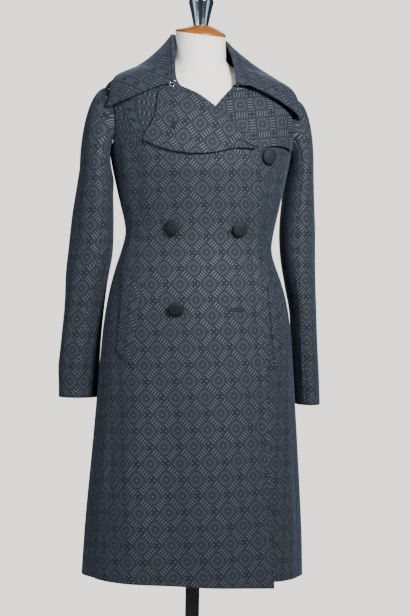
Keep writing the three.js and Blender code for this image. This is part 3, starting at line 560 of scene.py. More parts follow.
def front_spot(name, s, t):
    """The angle and place of a front's point: s runs towards the coat's left, t from the hem to the
    shoulder."""
    side = SIDES[name]
    edge = line(on_front(*np.transpose(EDGES[name])))
    roll = line(on_front(*np.transpose(ROLLS[name])))
    low = np.clip(t / BREAK, 0, 1)
    rise = np.clip((t - BREAK) / (1 - BREAK), 0, 1)
    neck = np.array([side * (np.pi / 2 - 0.003), NECKLINE])
    folded = roll(np.clip(rise / ROLL, 0, 1))
    past = mix(roll(1.0), neck, np.clip((rise - ROLL) / (1 - ROLL), 0, 1)[..., None])
    upper = np.where((rise < ROLL)[..., None], folded, past)
    below = (t <= BREAK)[..., None]
    inner = np.where(below, edge(low), upper)
    place = armhole(1, FRONT_TURN)[1] * low
    low_outer = np.stack([side * (front_seam(place) - seam_half(place)), place], -1)
    angle, height = armhole(side, mix(FRONT_TURN, np.pi, rise))
    high_outer = np.stack([angle - side * 0.003 * (rise > 0.999), height], -1)
    outer = np.where(below, low_outer, high_outer)
    first, second = (outer, inner) if side < 0 else (inner, outer)
    spot = mix(first, second, s[..., None])
    return spot[..., 0], spot[..., 1]


def front_face(name):
    """The right side of a front: close rows at the seams, the edge and its row of stitches."""
    across = spread((0.02, 5), (0.9, 62), (1.0, 30))
    if name == "left":
        across = 1 - across[::-1]
    s, t = crossed(across, spread((0.012, 6), (BREAK, 150), (1.0, 56)))
    angle, place = front_spot(name, s, t)
    at = body_point(angle, place)
    below = smooth(1120, 960, at[..., 2])
    off = at[..., 0] - np.interp(at[..., 2], *np.transpose(EDGES["right"])[::-1])
    if name == "right":
        lapped = smooth(1205, 1120, at[..., 2])
        return off_body(angle, place, right_out(angle, place) + 3.4 * lapped * np.exp(-(off / 15)**2))
    return off_body(angle, place, -3.5 * below * np.exp(-((off - 3) / 7)**2))


faces = {name: front_face(name) for name in SIDES}
faces["right"] = press(faces["right"], "left")
faces["right"] = press(faces["right"], "right", depth=1.5, width=2.2, inset=15)
faces["left"] = press(faces["left"], "right")
fronts = {
    "right": cloth("coat_front_right", faces["right"], grain=1.0, lead=-2.3),
    "left": cloth("coat_front_left", faces["left"], grain=0.0, lead=1.0, start=(0.01, 0.02)),
}
for name, front in fronts.items():
    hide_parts(f"front_{name}")


def side_face(side):
    """A side panel, from the forward to the rear side seam, up to the armhole's lower edge."""
    s, t = crossed(spread((0.05, 4), (0.95, 22), (1.0, 4)), np.linspace(0, 1, 170))
    across = 1 - s if side < 0 else s
    top = armhole(side, mix(FRONT_TURN, BACK_TURN - 2 * np.pi, across))[1]
    place = top * t
    gap = seam_half(place)
    return off_body(side * mix(front_seam(place) + gap, back_seam(place) - gap, across), place, 0.0)


for name, side in SIDES.items():
    face = press(press(side_face(side), "left"), "right")
    panel = cloth(f"coat_side_{name}", press(face, "top"), start=(0.02, 0.03))
    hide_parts(f"side_{name}")


def back_face(side):
    """Half of the back: from the centre back seam to the side seam, the armhole and the shoulder seam."""
    share = 15 / 23
    s, t = crossed(spread((0.03, 5), (0.97, 42), (1.0, 5)), spread((share, 150), (0.99, 44), (1.0, 4)))
    across = s if side < 0 else 1 - s
    low = np.clip(t / share, 0, 1)
    rise = np.clip((t - share) / (1 - share), 0, 1)
    place = armhole(1, BACK_TURN)[1] * low
    gap = seam_half(place)
    low_middle = np.stack([np.pi - gap, place], -1)
    low_outer = np.stack([back_seam(place) + gap, place], -1)
    nape_angle = np.pi - seam_half(NECKLINE)
    foot = np.array([nape_angle, armhole(1, BACK_TURN)[1]])
    nape = np.array([nape_angle, NECKLINE])
    neck = np.array([np.pi / 2 + 0.003, NECKLINE])
    climb = 0.6
    upper = mix(foot, nape, np.clip(rise / climb, 0, 1)[..., None])
    upper = mix(upper, neck, np.clip((rise - climb) / (1 - climb), 0, 1)[..., None])
    angle, height = armhole(1, mix(BACK_TURN, np.pi, rise))
    high_outer = np.stack([angle + 0.003 * (rise > 0.999), height], -1)
    below = (t <= share)[..., None]
    spot = mix(np.where(below, low_middle, upper), np.where(below, low_outer, high_outer), across[..., None])
    return off_body(side * spot[..., 0], spot[..., 1], 0.0)


for name, side in SIDES.items():
    face = press(press(back_face(side), "left"), "right")
    panel = cloth(f"coat_back_{name}", face, grain=0.0 if side < 0 else 1.0, start=(0.0, 0.01))
    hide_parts(f"back_{name}")

# The lapels
# Both fronts are folded back along a line from the collar to the break, so their facings show. Each is
# drawn in a front view by its fold, its notch edge down to the tip, and its lower edge from there to the
# break.
LAPELS = {
    "right": {
        "fold": [[-60, 1366], [-48, 1357], [-24, 1344], [10, 1319], [50, 1284], [88, 1246]],
        "notch": [[-94, 1356], [-98, 1322], [-106, 1286], [-121, 1255]],
        "bottom": [[-121, 1255], [-84, 1237], [-40, 1229], [6, 1232], [48, 1242], [84, 1243]],
        "corner": 0.34, "roll": 5, "lift": 4, "lead": 8.0,
    },
    "left": {
        "fold": [[55, 1367], [43, 1357], [31, 1344], [10, 1319], [-38, 1271], [-84, 1229]],
        "notch": [[100, 1352], [146, 1332], [172, 1302], [168, 1249]],
        "bottom": [[168, 1249], [148, 1253], [121, 1251], [90, 1238], [0, 1223], [-82, 1226]],
        "corner": 0.4, "roll": 0, "lift": 4, "lead": 38.0,
    },
}


def lapel_face(name):
    """A lapel's right side, ruled from its fold to its free edge. It rolls out along the fold and lifts at
    the edge."""
    shape, side = LAPELS[name], SIDES[name]
    fold, notch, bottom = (line(on_front(*np.transpose(shape[key]))) for key in ("fold", "notch", "bottom"))
    corner = shape["corner"]
    s, t = crossed(spread((0.08, 8), (0.92, 46), (1.0, 10)), spread((1 - corner, 62), (1.0, 34)))
    down = 1 - t
    across = 1 - s if side < 0 else s
    edge_notch = notch(np.clip(down / corner, 0, 1))
    edge_bottom = bottom(np.clip((down - corner) / (1 - corner), 0, 1))
    free = np.where((down < corner)[..., None], edge_notch, edge_bottom)
    spot = mix(fold(down), free, across[..., None])
    angle, place = spot[..., 0], spot[..., 1]
    roll = shape["roll"] * np.sin(np.pi * np.clip(across * 1.6, 0, 1)) * (0.3 + 0.7 * down)
    lift = shape["lift"] * across**2 * smooth(0, 0.3, down)
    if side < 0:
        return off_body(angle, place, right_out(angle, place) + OVERLAP - 0.3 + roll + lift)
    shown = smooth(100, 130, body_point(angle, place)[..., 0])
    return off_body(angle, place, OVERLAP - 0.3 + (roll + lift) * shown)


for name, side in SIDES.items():
    free_side = "left" if side < 0 else "right"
    faces[f"lapel_{name}"] = press(lapel_face(name), free_side, depth=0.5, width=1.4, inset=6)
    lapel = cloth(f"coat_lapel_{name}", faces[f"lapel_{name}"], grain=None, lead=LAPELS[name]["lead"],
                  lined=False)
    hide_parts(f"lapel_{name}")

# The collar
# One piece with its stand: it rises from the neckline, folds over and falls to two long points. Its front
# ends stay open, and the left half hangs a little lower than the right.

# x, y, z of the fold, of the seam and of the free edge, clearance and what the left half has more, sag,
# drop of the left fold and of the left edge
COLLAR = np.array([
    [59, -87, 1372, 59, -84.5, 1368, 193, -52, 1323, 11.5, 7, 9, 0, 12],
    [59.5, -76, 1390, 62, -74, 1378, 186, -43, 1340, 10, 6, 5, 0, 9],
    [58, -53, 1423, 67, -58, 1390, 175, -27, 1363, 10, 2, 3, 2, 4],
    [56, -26, 1453, 69, -36, 1404, 163, -8, 1385, 9.5, 0, 5, 5, 0],
    [52.5, 4, 1473, 67.5, -5, 1421.8, 150, 16, 1400, 9, 0, 7, 8, -2],
    [49, 32, 1481, 63.5, 27, 1429.4, 128, 52, 1402, 8, 0, 7, 6, 0],
    [38, 55, 1484, 46, 48.5, 1436, 90, 80, 1397, 6, 0, 3, 3, 0],
    [20, 68, 1485, 24, 62, 1440, 45, 98, 1391, 6, 0, 0, 1, 0],
    [0, 71, 1485, 0, 66, 1441.4, 0, 104, 1388, 6, 0, 0, 0, 0],
])
NECK_SHIFT = -4
FOLD_RADIUS = 3.2
STAND, FOLDED = 0.22, 0.42  # shares across the collar: the top of the stand, and the end of the fold


def collar_point(side, station, across):
    """The middle of the collar's cloth: straight up the stand, half a turn over the fold, then down to the
    edge with a sag, and moved out where it would come closer to the coat than its clearance."""
    row = read(COLLAR, station)
    left = (side > 0).astype(float)
    clear, more, sag, fold_drop, edge_drop = (row[..., k] for k in (9, 10, 11, 12, 13))
    clear = clear + left * more
    sides = np.stack([side, np.ones_like(side), np.ones_like(side)], -1)
    fold = row[..., 0:3] * sides + np.stack([np.full_like(side, NECK_SHIFT), 0 * side, -left * fold_drop], -1)
    seam = row[..., 3:6] * sides
    seam[..., 2] -= 1.4 * side * np.minimum(1, row[..., 3] / 40)
    edge = row[..., 6:9] * sides
    edge[..., 2] -= left * edge_drop
    outward = edge - fold
    outward[..., 2] = 0
    outward = unit(outward)
    tall = np.clip((row[..., 2] - row[..., 5]) / 20, 0.2, 1)
    stand = mix(seam, fold, np.clip(across / STAND, 0, 1)[..., None])
    turn = np.clip((across - STAND) / (FOLDED - STAND), 0, 1) * np.pi
    point = fold + outward * (FOLD_RADIUS * (1 - np.cos(turn)))[..., None]
    point[..., 2] += FOLD_RADIUS * tall * np.sin(turn)
    down = np.clip((across - FOLDED) / (1 - FOLDED), 0, 1)
    point = mix(point, edge, down[..., None])
    point[..., 2] -= sag * mix(1, 0.6, left) * np.sin(np.pi * down)
    guess = side * np.arctan2(edge[..., 0] * side, -edge[..., 1]), place_at(mix(row[..., 8], 1420, 1 - down))
    angle, place, out = to_body(point, *guess)
    least = mix(np.minimum(out, clear), clear, smooth(0, 0.15, down))
    short = least - out
    point = point + body_normal(angle, place) * ((short + np.hypot(short, 2)) / 2)[..., None]
    return np.where((across <= STAND)[..., None], stand, point)


s, t = crossed(spread((0.06, 8), (0.5, 26), (0.62, 10), (1.0, 22)),
               spread((0.015, 5), (0.985, 150), (1.0, 5)))
middle = collar_point(np.where(t < 0.5, -1.0, 1.0), 8 * (1 - np.abs(2 * t - 1)), 1 - s)
collar_face = middle + normals_of(middle) * CLOTH / 2
collar_face = press(collar_face, "left", depth=0.5, width=1.4, inset=6)
faces["collar"] = collar_face
collar = cloth("coat_collar", collar_face, grain=0.3, lead=90.0, lined=False, upright=False)
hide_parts("collar")

# The sleeves
# Set-in sleeves of two pieces, an upper and an under one, which hang empty from the shoulders. The cloth is
# creased softly at the elbow, and a pressed fold runs down the front.

# height, distance from the coat's middle, y, half size across and deep, twist of the section in degrees
ARMS = {
    "right": [
        [753, 231, 44, 37, 51, 24],
        [812, 231, 42, 38, 52, 21],
        [871, 228, 39, 38, 53, 17],
        [930, 223.5, 35, 38.5, 55, 11],
        [985, 220, 29, 41, 56, 5],
        [1040, 214, 22, 43, 58, 0],
        [1095, 211.5, 16, 41, 61, -2],
        [1150, 209, 10, 37, 64, -2],
        [1207, 208.5, 6, 30, 65, 0],
    ],
    "left": [
        [744, 231, 16, 25, 56, -6],
        [809, 227, 16, 25.5, 58, -6],
        [871, 222.5, 15, 25.5, 60, -6],
        [930, 219, 15, 26, 61, -6],
        [985, 212, 14, 30, 62, -5],
        [1040, 206, 12, 34, 62, -4],
        [1095, 203.5, 10, 35, 63, -3],
        [1150, 203, 8, 31, 65, -2],
        [1207, 204, 6, 25.5, 66, 0],
    ],
}
# Creases in turns of the armhole and heights, as on the body
ARM_CREASES = {
    "right": [
        [70, 1060, 70, 740, 9, 2.6],
        [96, 1075, 100, 745, 16, -1.4],
        [40, 1096, 105, 1066, 7, -1.6],
        [46, 1068, 95, 1046, 6, -1.3],
        [50, 1030, 110, 1050, 7, 1.0],
        [150, 1140, 120, 1000, 12, -1.4],
        [200, 1180, 190, 960, 14, 1.3],
        [260, 1120, 300, 1060, 9, -1.8],
        [250, 1060, 300, 1030, 8, -1.5],
        [230, 960, 240, 770, 12, -1.2],
        [140, 900, 150, 770, 11, 1.2],
        [-40, 1182, 40, 1182, 24, 4.6],
    ],
    "left": [
        [66, 1060, 68, 740, 8, 2.0],
        [100, 1080, 96, 745, 15, -1.2],
        [44, 1090, 104, 1062, 7, -1.5],
        [48, 1060, 96, 1040, 6, -1.2],
        [150, 1150, 128, 990, 12, -1.3],
        [196, 1180, 186, 940, 14, 1.2],
        [262, 1110, 304, 1064, 9, -1.8],
        [250, 1050, 300, 1028, 8, -1.4],
        [226, 950, 236, 770, 12, -1.1],
    ],
}
ARM_FRONT, ARM_BACK = 72 * DEGREE, 288 * DEGREE  # the sleeve's two seams
ARM_TUBE = 11 / 18  # share of the rows below the sleeve's head


def tube_point(name, turn, place):
    """A point of the hanging part: an oval section from the table, turned by its twist."""
    height, outwards, y, across, deep, twist = np.moveaxis(read(ARMS[name], place), -1, 0)
    x, back = -np.cos(turn) * across, -np.sin(turn) * deep
    c, s = np.cos(twist * DEGREE), np.sin(twist * DEGREE)
    return np.stack([SIDES[name] * (outwards + x * c - back * s), y + x * s + back * c, height], -1)


def sleeve_point(name, turn, t):
    """A point of the sleeve: the tube below, and above it a head that bends from the tube into the
    armhole."""
    side, last = SIDES[name], len(ARMS[name]) - 1.0
    tube = tube_point(name, turn, last * np.clip(t / ARM_TUBE, 0, 1))
    rise = np.clip((t - ARM_TUBE) / (1 - ARM_TUBE), 0, 1)[..., None]
    height = (1 - np.cos(turn)) / 2
    low = tube_point(name, turn, np.full_like(turn, last))
    angle, place = armhole(side, turn)
    high = off_body(angle, place, CLOTH / 2 + SEAM)
    outward = np.stack([np.full_like(turn, side), 0 * turn, 0.25 * height - 0.1], -1)
    low_handle = low + np.stack([0 * turn, 0 * turn, mix(3, 88, height)], -1)
    high_handle = high + outward * mix(3, 30, height)[..., None]
    head = ((1 - rise)**3 * low + 3 * (1 - rise)**2 * rise * low_handle
            + 3 * (1 - rise) * rise**2 * high_handle + rise**3 * high)
    return np.where((t <= ARM_TUBE)[..., None], tube, head)


def sleeve_face(name, first, last, columns):
    """The right side of an upper or under sleeve, between two turns round the arm."""
    gap = 0.004
    s, t = crossed(spread((0.04, 4), (0.96, columns), (1.0, 4)), spread((0.01, 5), (0.6, 84), (1.0, 62)))
    turn = mix(last - gap, first + gap, s) if SIDES[name] < 0 else mix(first + gap, last - gap, s)
    middle = sleeve_point(name, turn, t)
    normals = normals_of(middle)
    relief = creased(ARM_CREASES[name], turn, middle[..., 2], 47) * smooth(1235, 1150, middle[..., 2])
    return middle + normals * (CLOTH / 2 + relief)[..., None]


for name in SIDES:
    for part, first, last, columns in (
        ("upper", ARM_FRONT, ARM_BACK, 56), ("under", ARM_BACK - 2 * np.pi, ARM_FRONT, 40)
    ):
        face = sleeve_face(name, first, last, columns)
        for edge in ("left", "right", "top"):
            face = press(face, edge)
        sleeve = cloth(f"coat_sleeve_{name}_{part}", face, start=(0.015, 0.0), head=ARM_TUBE)
        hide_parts(f"sleeve_{name}_{part}")

# The shoulder straps
# Straps of doubled cloth on the shoulder seams, wide at the sleeve and narrower where they go under the
# collar. Their outer ends stand a little off the shoulder.
STRAP = {"outer": 18.15, "inner": 21.2, "outer_half": 23, "inner_half": 17, "wall": 3, "lift": 3}


def strap_face(side):
    """A strap's upper side, across the shoulder seam and up along it."""
    s, t = crossed(spread((0.2, 10), (0.8, 14), (1.0, 10)), spread((0.1, 10), (1.0, 36)))
    place = mix(STRAP["outer"], STRAP["inner"], t)
    row = read(BODY, place)
    half = mix(STRAP["outer_half"], STRAP["inner_half"], t) / ((row[..., 2] + row[..., 3]) / 2)
    out = STRAP["wall"] + 0.9 + STRAP["lift"] * (1 - t)**2
    return off_body(side * np.pi / 2 + mix(-half, half, s), place, out)


for name, side in SIDES.items():
    face = strap_face(side)
    for edge in ("left", "right", "bottom"):
        face = press(face, edge, depth=0.5, width=1.3, inset=5)
    faces[f"strap_{name}"] = face
    strap = cloth(f"coat_strap_{name}", face, thickness=STRAP["wall"], lined=False, upright=False)
    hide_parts(f"strap_{name}")

# The pocket welts
# Slanting bands of doubled cloth over the pocket openings on the hips, sewn down at both ends.
WELTS = {
    "right": [[[-153, 1004], [-166, 846]], [[-121, 981], [-141, 824]]],
    "left": [[[124, 976], [140, 818]], [[156, 995], [166, 838]]],
}


def welt_face(name):
    """A welt's outer side, ruled between its two long sides in a front view."""
    first, second = np.array(WELTS[name], float)
    s, t = crossed(spread((0.2, 8), (0.8, 10), (1.0, 8)), spread((0.05, 8), (0.95, 50), (1.0, 8)))
    start, end = mix(first[1], first[0], t[..., None]), mix(second[1], second[0], t[..., None])
    at = mix(start, end, s[..., None])
    spot = on_front(at[..., 0], at[..., 1])
    angle, place = spot[..., 0], spot[..., 1]
    under = right_out(angle, place) if name == "right" else 0.0
    return off_body(angle, place, under + CLOTH + 0.3)


for name, side in SIDES.items():
    face = welt_face(name)
    face = press(face, "right" if side < 0 else "left", depth=0.4, width=1.3, inset=5)
    faces[f"welt_{name}"] = face
    welt = cloth(f"coat_welt_{name}", face, lined=False, upright=False)
    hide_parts(f"welt_{name}")

# The bound buttonholes
# Each is a slit between two narrow rolls of the coating: an empty one at the hip, one that shows beside the
# waist button, and a small one in the lapel. The slit's two ends are given in a front view. The rolls are
# pieces on the right front and its lapel.
HOLES = {
    "hip": [[40, 931], [72, 931.5]],
    "waist": [[38, 1082], [52, 1082]],
    "lapel": [[-66, 1287], [-70, 1272]],
}


def lip_face(ends, shift, half, raise_by):
    """One roll: a strip along the slit, shifted to one side of it and arched across."""
    s, t = crossed(np.linspace(0, 1, 36), np.linspace(-1, 1, 13))
    (x0, z0), (x1, z1) = ends
    length = np.hypot(x1 - x0, z1 - z0)
    along = np.array([x1 - x0, z1 - z0]) / length
    aside = np.array([-along[1], along[0]])
    end = np.minimum(1, np.minimum(s, 1 - s) * length / half)
    x = x0 + along[0] * length * s + aside[0] * (shift + t * half * np.sqrt(end))
    z = z0 + along[1] * length * s + aside[1] * (shift + t * half * np.sqrt(end))
    spot = on_front(x, z)
    angle, place = spot[..., 0], spot[..., 1]
    out = right_out(angle, place) + raise_by + 0.9 * np.sqrt(np.clip(1 - t**2, 0, 1)) * np.sqrt(end)
    return off_body(angle, place, out)


lips = {"front": [], "lapel": []}
for name, ends in HOLES.items():
    raise_by = 0.1 if name != "lapel" else OVERLAP + 3.4
    for part, shift in (("upper", 2.1), ("lower", -2.1)):
        lip = cloth(f"buttonhole_{name}_{part}", lip_face(ends, shift, 1.7, raise_by), thickness=0.8,
                    upright=False)
        # The rolls take the dark lining colour all over: painted shade for the dark slit between them.
        lip.data.attributes["inside"].data.foreach_set("value", np.ones(len(lip.data.vertices), np.float32))
        lips["lapel" if name == "lapel" else "front"].append(lip)

# The stitching
# Rows of small stitches in thread of the coating's colour: along the front's edge, the lapels and the
# collar, and round the straps and welts.
thread, tree, shader = material("thread", 0.55)
threads = node(tree, "ShaderNodeTexNoise", inputs={"Scale": 900.0})
places = node(tree, "ShaderNodeTexCoord")
tree.links.new(places.outputs["Object"], threads.inputs["Vector"])
tree.links.new(mixed(tree, threads.outputs[0], (0.012, 0.014, 0.020), (0.040, 0.044, 0.056)),
               shader.inputs["Base Color"])


def line_on(face, side, inset):
    """The line on a grid that lies an inset from one side, and the normals there."""
    grid, lean = from_side(face, side), from_side(normals_of(face), side)
    away = distances(face, side)
    before = np.clip((away < inset).sum(1) - 1, 0, away.shape[1] - 2)
    rows = np.arange(len(grid))
    share = ((inset - away[rows, before]) / (away[rows, before + 1] - away[rows, before]))[:, None]
    return (mix(grid[rows, before], grid[rows, before + 1], share),
            mix(lean[rows, before], lean[rows, before + 1], share))


def stitches(name, rows, pitch=3.6, length=2.7, half=0.32):
    """Stitches along lines: each is a small closed grain with a square section, pointed at both ends."""
    heads, tails, leans = [], [], []
    for points, lean in rows:
        steps = np.linalg.norm(np.diff(points, axis=0), axis=1)
        run = np.concatenate([[0], np.cumsum(steps)])
        starts = np.arange(pitch / 2, run[-1] - pitch, pitch)
        heads.append(np.stack([np.interp(starts, run, points[:, k]) for k in range(3)], -1))
        tails.append(np.stack([np.interp(starts + length, run, points[:, k]) for k in range(3)], -1))
        leans.append(np.stack([np.interp(starts, run, lean[:, k]) for k in range(3)], -1))
    head, tail, lean = np.concatenate(heads), np.concatenate(tails), unit(np.concatenate(leans))
    aside = unit(np.cross(tail - head, lean))
    rings = []
    for share, size in ((0.0, 0.35), (0.25, 1.0), (0.75, 1.0), (1.0, 0.35)):
        centre = mix(head, tail, share) + lean * 0.18
        rings.append(np.stack([
            centre + aside * half * size,
            centre + lean * half * size,
            centre - aside * half * size,
            centre - lean * half * size,
        ], 1))
    points = np.stack(rings, 1).reshape(-1, 3)
    shape = []
    for ring in range(3):
        for k in range(4):
            a, b = ring * 4 + k, ring * 4 + (k + 1) % 4
            shape.append([b, a, a + 4, b + 4])
    shape += [[0, 1, 2, 3], [15, 14, 13, 12]]
    quads = (np.array(shape)[None] + np.arange(len(head))[:, None, None] * 16).reshape(-1, 4)
    piece = mesh_of(name, points, quads)
    piece.data.materials.append(thread)
    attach(piece, "root")


def part_of(row, first, last):
    """A stretch of a line of stitches, by shares of its points."""
    count = len(row[0])
    return tuple(values[int(first * count):int(last * count)] for values in row)


stitches("stitching_front", [part_of(line_on(faces["right"], "right", 15), 0.0, 0.71)])
stitches("stitching_lapels", [
    line_on(faces["lapel_right"], "left", 6),
    part_of(line_on(faces["lapel_left"], "right", 6), 0.35, 1.0),
])
stitches("stitching_collar", [line_on(faces["collar"], "left", 6)])
stitches("stitching_straps", [
    line_on(faces[f"strap_{name}"], edge, 5) for name in SIDES for edge in ("left", "right", "bottom")
])
stitches("stitching_welts", [
    line_on(faces["welt_right"], "right", 5), line_on(faces["welt_right"], "top", 5),
    line_on(faces["welt_right"], "bottom", 5), line_on(faces["welt_left"], "left", 5),
    line_on(faces["welt_left"], "top", 5), line_on(faces["welt_left"], "bottom", 5),
])

# The buttons
# Four moulds covered in plain dark satin, each sewn on by a shank of thread. They hang at a slant, the
# lowest one most of all.

# x and z in a front view, 1 on the right front, lift, droop and turn in degrees, length of the shank
BUTTONS = [
    [119, 1231, 0, 0.1, 4, -8, 3.4],
    [-62, 1088, 1, 1.1, 4, -22, 6],
    [61, 1089, 1, 1.2, 8, 0, 4],
    [-59, 934, 1, 0.3, 32, 0, 6.5],
]
DOME = [
    [3, 0.1], [9, 0.2], [13.4, 1.1], [14.9, 2.4], [15, 3.3],
    [14.1, 4.7], [11, 6.3], [6, 7.3], [2, 7.6], [0.01, 7.62],
]

satin, tree, shader = material("satin", 0.65, Specular_IOR_Level=0.15, Sheen_Weight=0.05, Sheen_Roughness=0.3)
places = node(tree, "ShaderNodeTexCoord")
threads = node(tree, "ShaderNodeTexWave", wave_type="BANDS", bands_direction="DIAGONAL",
               inputs={"Scale": 420.0, "Distortion": 1.5})
tree.links.new(places.outputs["Object"], threads.inputs["Vector"])
tree.links.new(mixed(tree, threads.outputs[1], (0.007, 0.009, 0.012), (0.017, 0.020, 0.026)),
               shader.inputs["Base Color"])
relief = node(tree, "ShaderNodeBump", inputs={"Strength": 0.3, "Distance": 0.0001})
tree.links.new(threads.outputs[1], relief.inputs["Height"])
tree.links.new(relief.outputs[0], shader.inputs["Normal"])


def lathed(profile, segments, wave=0.0):
    """A profile of radius and height turned round an upright axis, closed at both ends. wave lets the
    radius rise and fall a little round the axis."""
    profile = np.asarray(profile, float)
    turn = np.arange(segments) * 2 * np.pi / segments
    radius = profile[:, 0][:, None] * (1 + wave * np.sin(7 * turn)[None])
    points = np.stack([radius * np.cos(turn), radius * np.sin(turn),
                       np.repeat(profile[:, 1:], segments, 1)], -1)
    index = np.arange(points[..., 0].size).reshape(len(profile), segments)
    following = np.roll(index, -1, 1)
    quads = np.stack([index[:-1], following[:-1], following[1:], index[1:]], -1).reshape(-1, 4)
    return points.reshape(-1, 3), quads


def rounded(profile, count):
    """A smooth profile through a few given points."""
    return line(profile)(np.linspace(0, 1, count))


for number, (x, z, on_right, lift, droop, yaw, shank) in enumerate(BUTTONS, 1):
    angle, place = on_front(x, z)
    tilt = max(abs(droop), abs(yaw)) * DEGREE
    out = float(right_out(angle, place)) * on_right + lift + 3 * np.sin(tilt) - SEAM
    foot = off_body(angle, place, np.asarray(out))
    profile = np.concatenate([[[0.01, 0], [3, 0], [3, shank]], rounded(DOME, 34) + [0, shank]])
    points, quads = lathed(profile, 48, wave=0.006)
    lie = Quaternion((0, 0, 1), yaw * DEGREE) @ Quaternion((1, 0, 0), droop * DEGREE)
    lie = lie @ Vector((0, 0, 1)).rotation_difference(Vector(body_normal(angle, place)))
    points = points @ np.array(lie.to_matrix()).T + foot
    button = mesh_of(f"covered_button_{number}", points, quads)
    button.data.materials.append(satin)
    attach(button, "root")
    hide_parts(f"button_{number}")

# The collar's hook and bar
# A ring-shaped hook of bright wire under the right end of the collar, and its bar under the left end.
WIRE = 1.1
HOOK_RADIUS = 5
BAR_HALF = 8.1  # half the bar's length
BAR_STRAIGHT = 7  # where its end starts to round off
BAR_LEAN = 62 * DEGREE


def tube(path, radius, segments=16, closed=False):
    """A round wire along a path of points, with rings square to it."""
    ahead = np.roll(path, -1, 0) - np.roll(path, 1, 0) if closed else np.gradient(path, axis=0)
    ahead = unit(ahead)
    aside = unit(np.cross(ahead, [0.31, -0.9, 0.3]))
    above = np.cross(aside, ahead)
    turn = np.arange(segments) * 2 * np.pi / segments
    radius = np.broadcast_to(radius, len(path))[:, None, None]
    round_it = np.cos(turn)[:, None] * aside[:, None] + np.sin(turn)[:, None] * above[:, None]
    points = path[:, None] + radius * round_it
    index = np.arange(len(path) * segments).reshape(len(path), segments)
    if closed:
        index = np.concatenate([index, index[:1]])
    following = np.roll(index, -1, 1)
    quads = np.stack([index[:-1], index[1:], following[1:], following[:-1]], -1).reshape(-1, 4)
    return points.reshape(-1, 3), quads


bright, tree, shader = material("bright_wire", 0.2, metallic=1.0)
places = node(tree, "ShaderNodeTexCoord")
rubbed = node(tree, "ShaderNodeTexNoise", inputs={"Scale": 300.0, "Detail": 2.0})
tree.links.new(places.outputs["Object"], rubbed.inputs["Vector"])
tree.links.new(mixed(tree, rubbed.outputs[0], (0.68, 0.70, 0.72), (0.88, 0.89, 0.90)),
               shader.inputs["Base Color"])
tree.links.new(calc(tree, "MULTIPLY_ADD", rubbed.outputs[0], 0.2, 0.1), shader.inputs["Roughness"])


def lie_on_coat(name, points, quads, x, z, out):
    """Seats a small part, made about its own middle with z away from the coat, at x, z of the front view."""
    angle, place = on_front(x, z)
    seat = off_body(angle, place, np.asarray(out(angle, place) + OVERLAP + WIRE))
    lie = Vector((0, 0, 1)).rotation_difference(Vector(body_normal(angle, place)))
    piece = mesh_of(name, points @ np.array(lie.to_matrix()).T + seat, quads)
    piece.data.materials.append(bright)
    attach(piece, "root")
    return piece


turn = np.linspace(0, 2 * np.pi, 64, endpoint=False)
ring = np.stack([HOOK_RADIUS * np.cos(turn), HOOK_RADIUS * np.sin(turn), 0 * turn], -1)
hook = lie_on_coat("wire_hook", *tube(ring, WIRE, closed=True), -70, 1358, lambda a, p: right_out(a, p) + 3.2)
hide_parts("collar_hook")
share = np.sin(np.linspace(-np.pi / 2, np.pi / 2, 41))
half = BAR_HALF * share
rounding = np.clip((np.abs(half) - BAR_STRAIGHT) / (BAR_HALF - BAR_STRAIGHT), 0, 1)
thick = WIRE * np.sqrt(np.clip(1 - rounding**2, 1e-6, 1))
bar_path = np.stack([half * np.sin(BAR_LEAN), half * np.cos(BAR_LEAN), 0 * half], -1)
bar = lie_on_coat("wire_bar", *tube(bar_path, thick), 64, 1360, lambda a, p: 0.1)
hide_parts("collar_bar")

# The dress form
# A padded, hollow torso without limbs, covered in ivory jersey with a seam at the root of the neck. It
# fills the coat's shoulders and ends below the hips, where the pole goes in.
FORM_BOTTOM = 800
# height, half width, depth of the front and of the back, y of the neck
NECK = [
    [1424, 55, 55, 53, 0],
    [1438, 52.5, 52, 50, -1],
    [1452, 51, 51, 49, -3],
    [1467, 50, 50.5, 48, -4],
    [1481, 50, 50, 48, -5],
]
NECK_TOP = 1481
SLANT_BACK, SLANT_RIGHT = np.tan(13 * DEGREE), np.tan(4.5 * DEGREE)
FORM_COLUMNS = 112


def slanted(points, share):
    """Lifts points of the neck or the cap by a share of the neck's slant, which rises to the back and the
    right."""
    raised = SLANT_BACK * (points[..., 1] + 5) - SLANT_RIGHT * (points[..., 0] - NECK_SHIFT)
    return points + np.stack([0 * raised, 0 * raised, raised * share], -1)


jersey, tree, shader = material("jersey", 0.85, Sheen_Weight=0.2, Sheen_Roughness=0.5)
places = node(tree, "ShaderNodeTexCoord")
knit = node(tree, "ShaderNodeTexWave", wave_type="BANDS", bands_direction="Z",
            inputs={"Scale": 240.0, "Distortion": 2.0})
soft = node(tree, "ShaderNodeTexNoise", inputs={"Scale": 9.0, "Detail": 3.0})
tree.links.new(places.outputs["Object"], knit.inputs["Vector"])
tree.links.new(places.outputs["Object"], soft.inputs["Vector"])
tree.links.new(mixed(tree, soft.outputs[0], (0.86, 0.84, 0.77), (0.93, 0.91, 0.85)),
               shader.inputs["Base Color"])
relief = node(tree, "ShaderNodeBump", inputs={"Strength": 0.25, "Distance": 0.0002})
tree.links.new(knit.outputs[1], relief.inputs["Height"])
tree.links.new(relief.outputs[0], shader.inputs["Normal"])

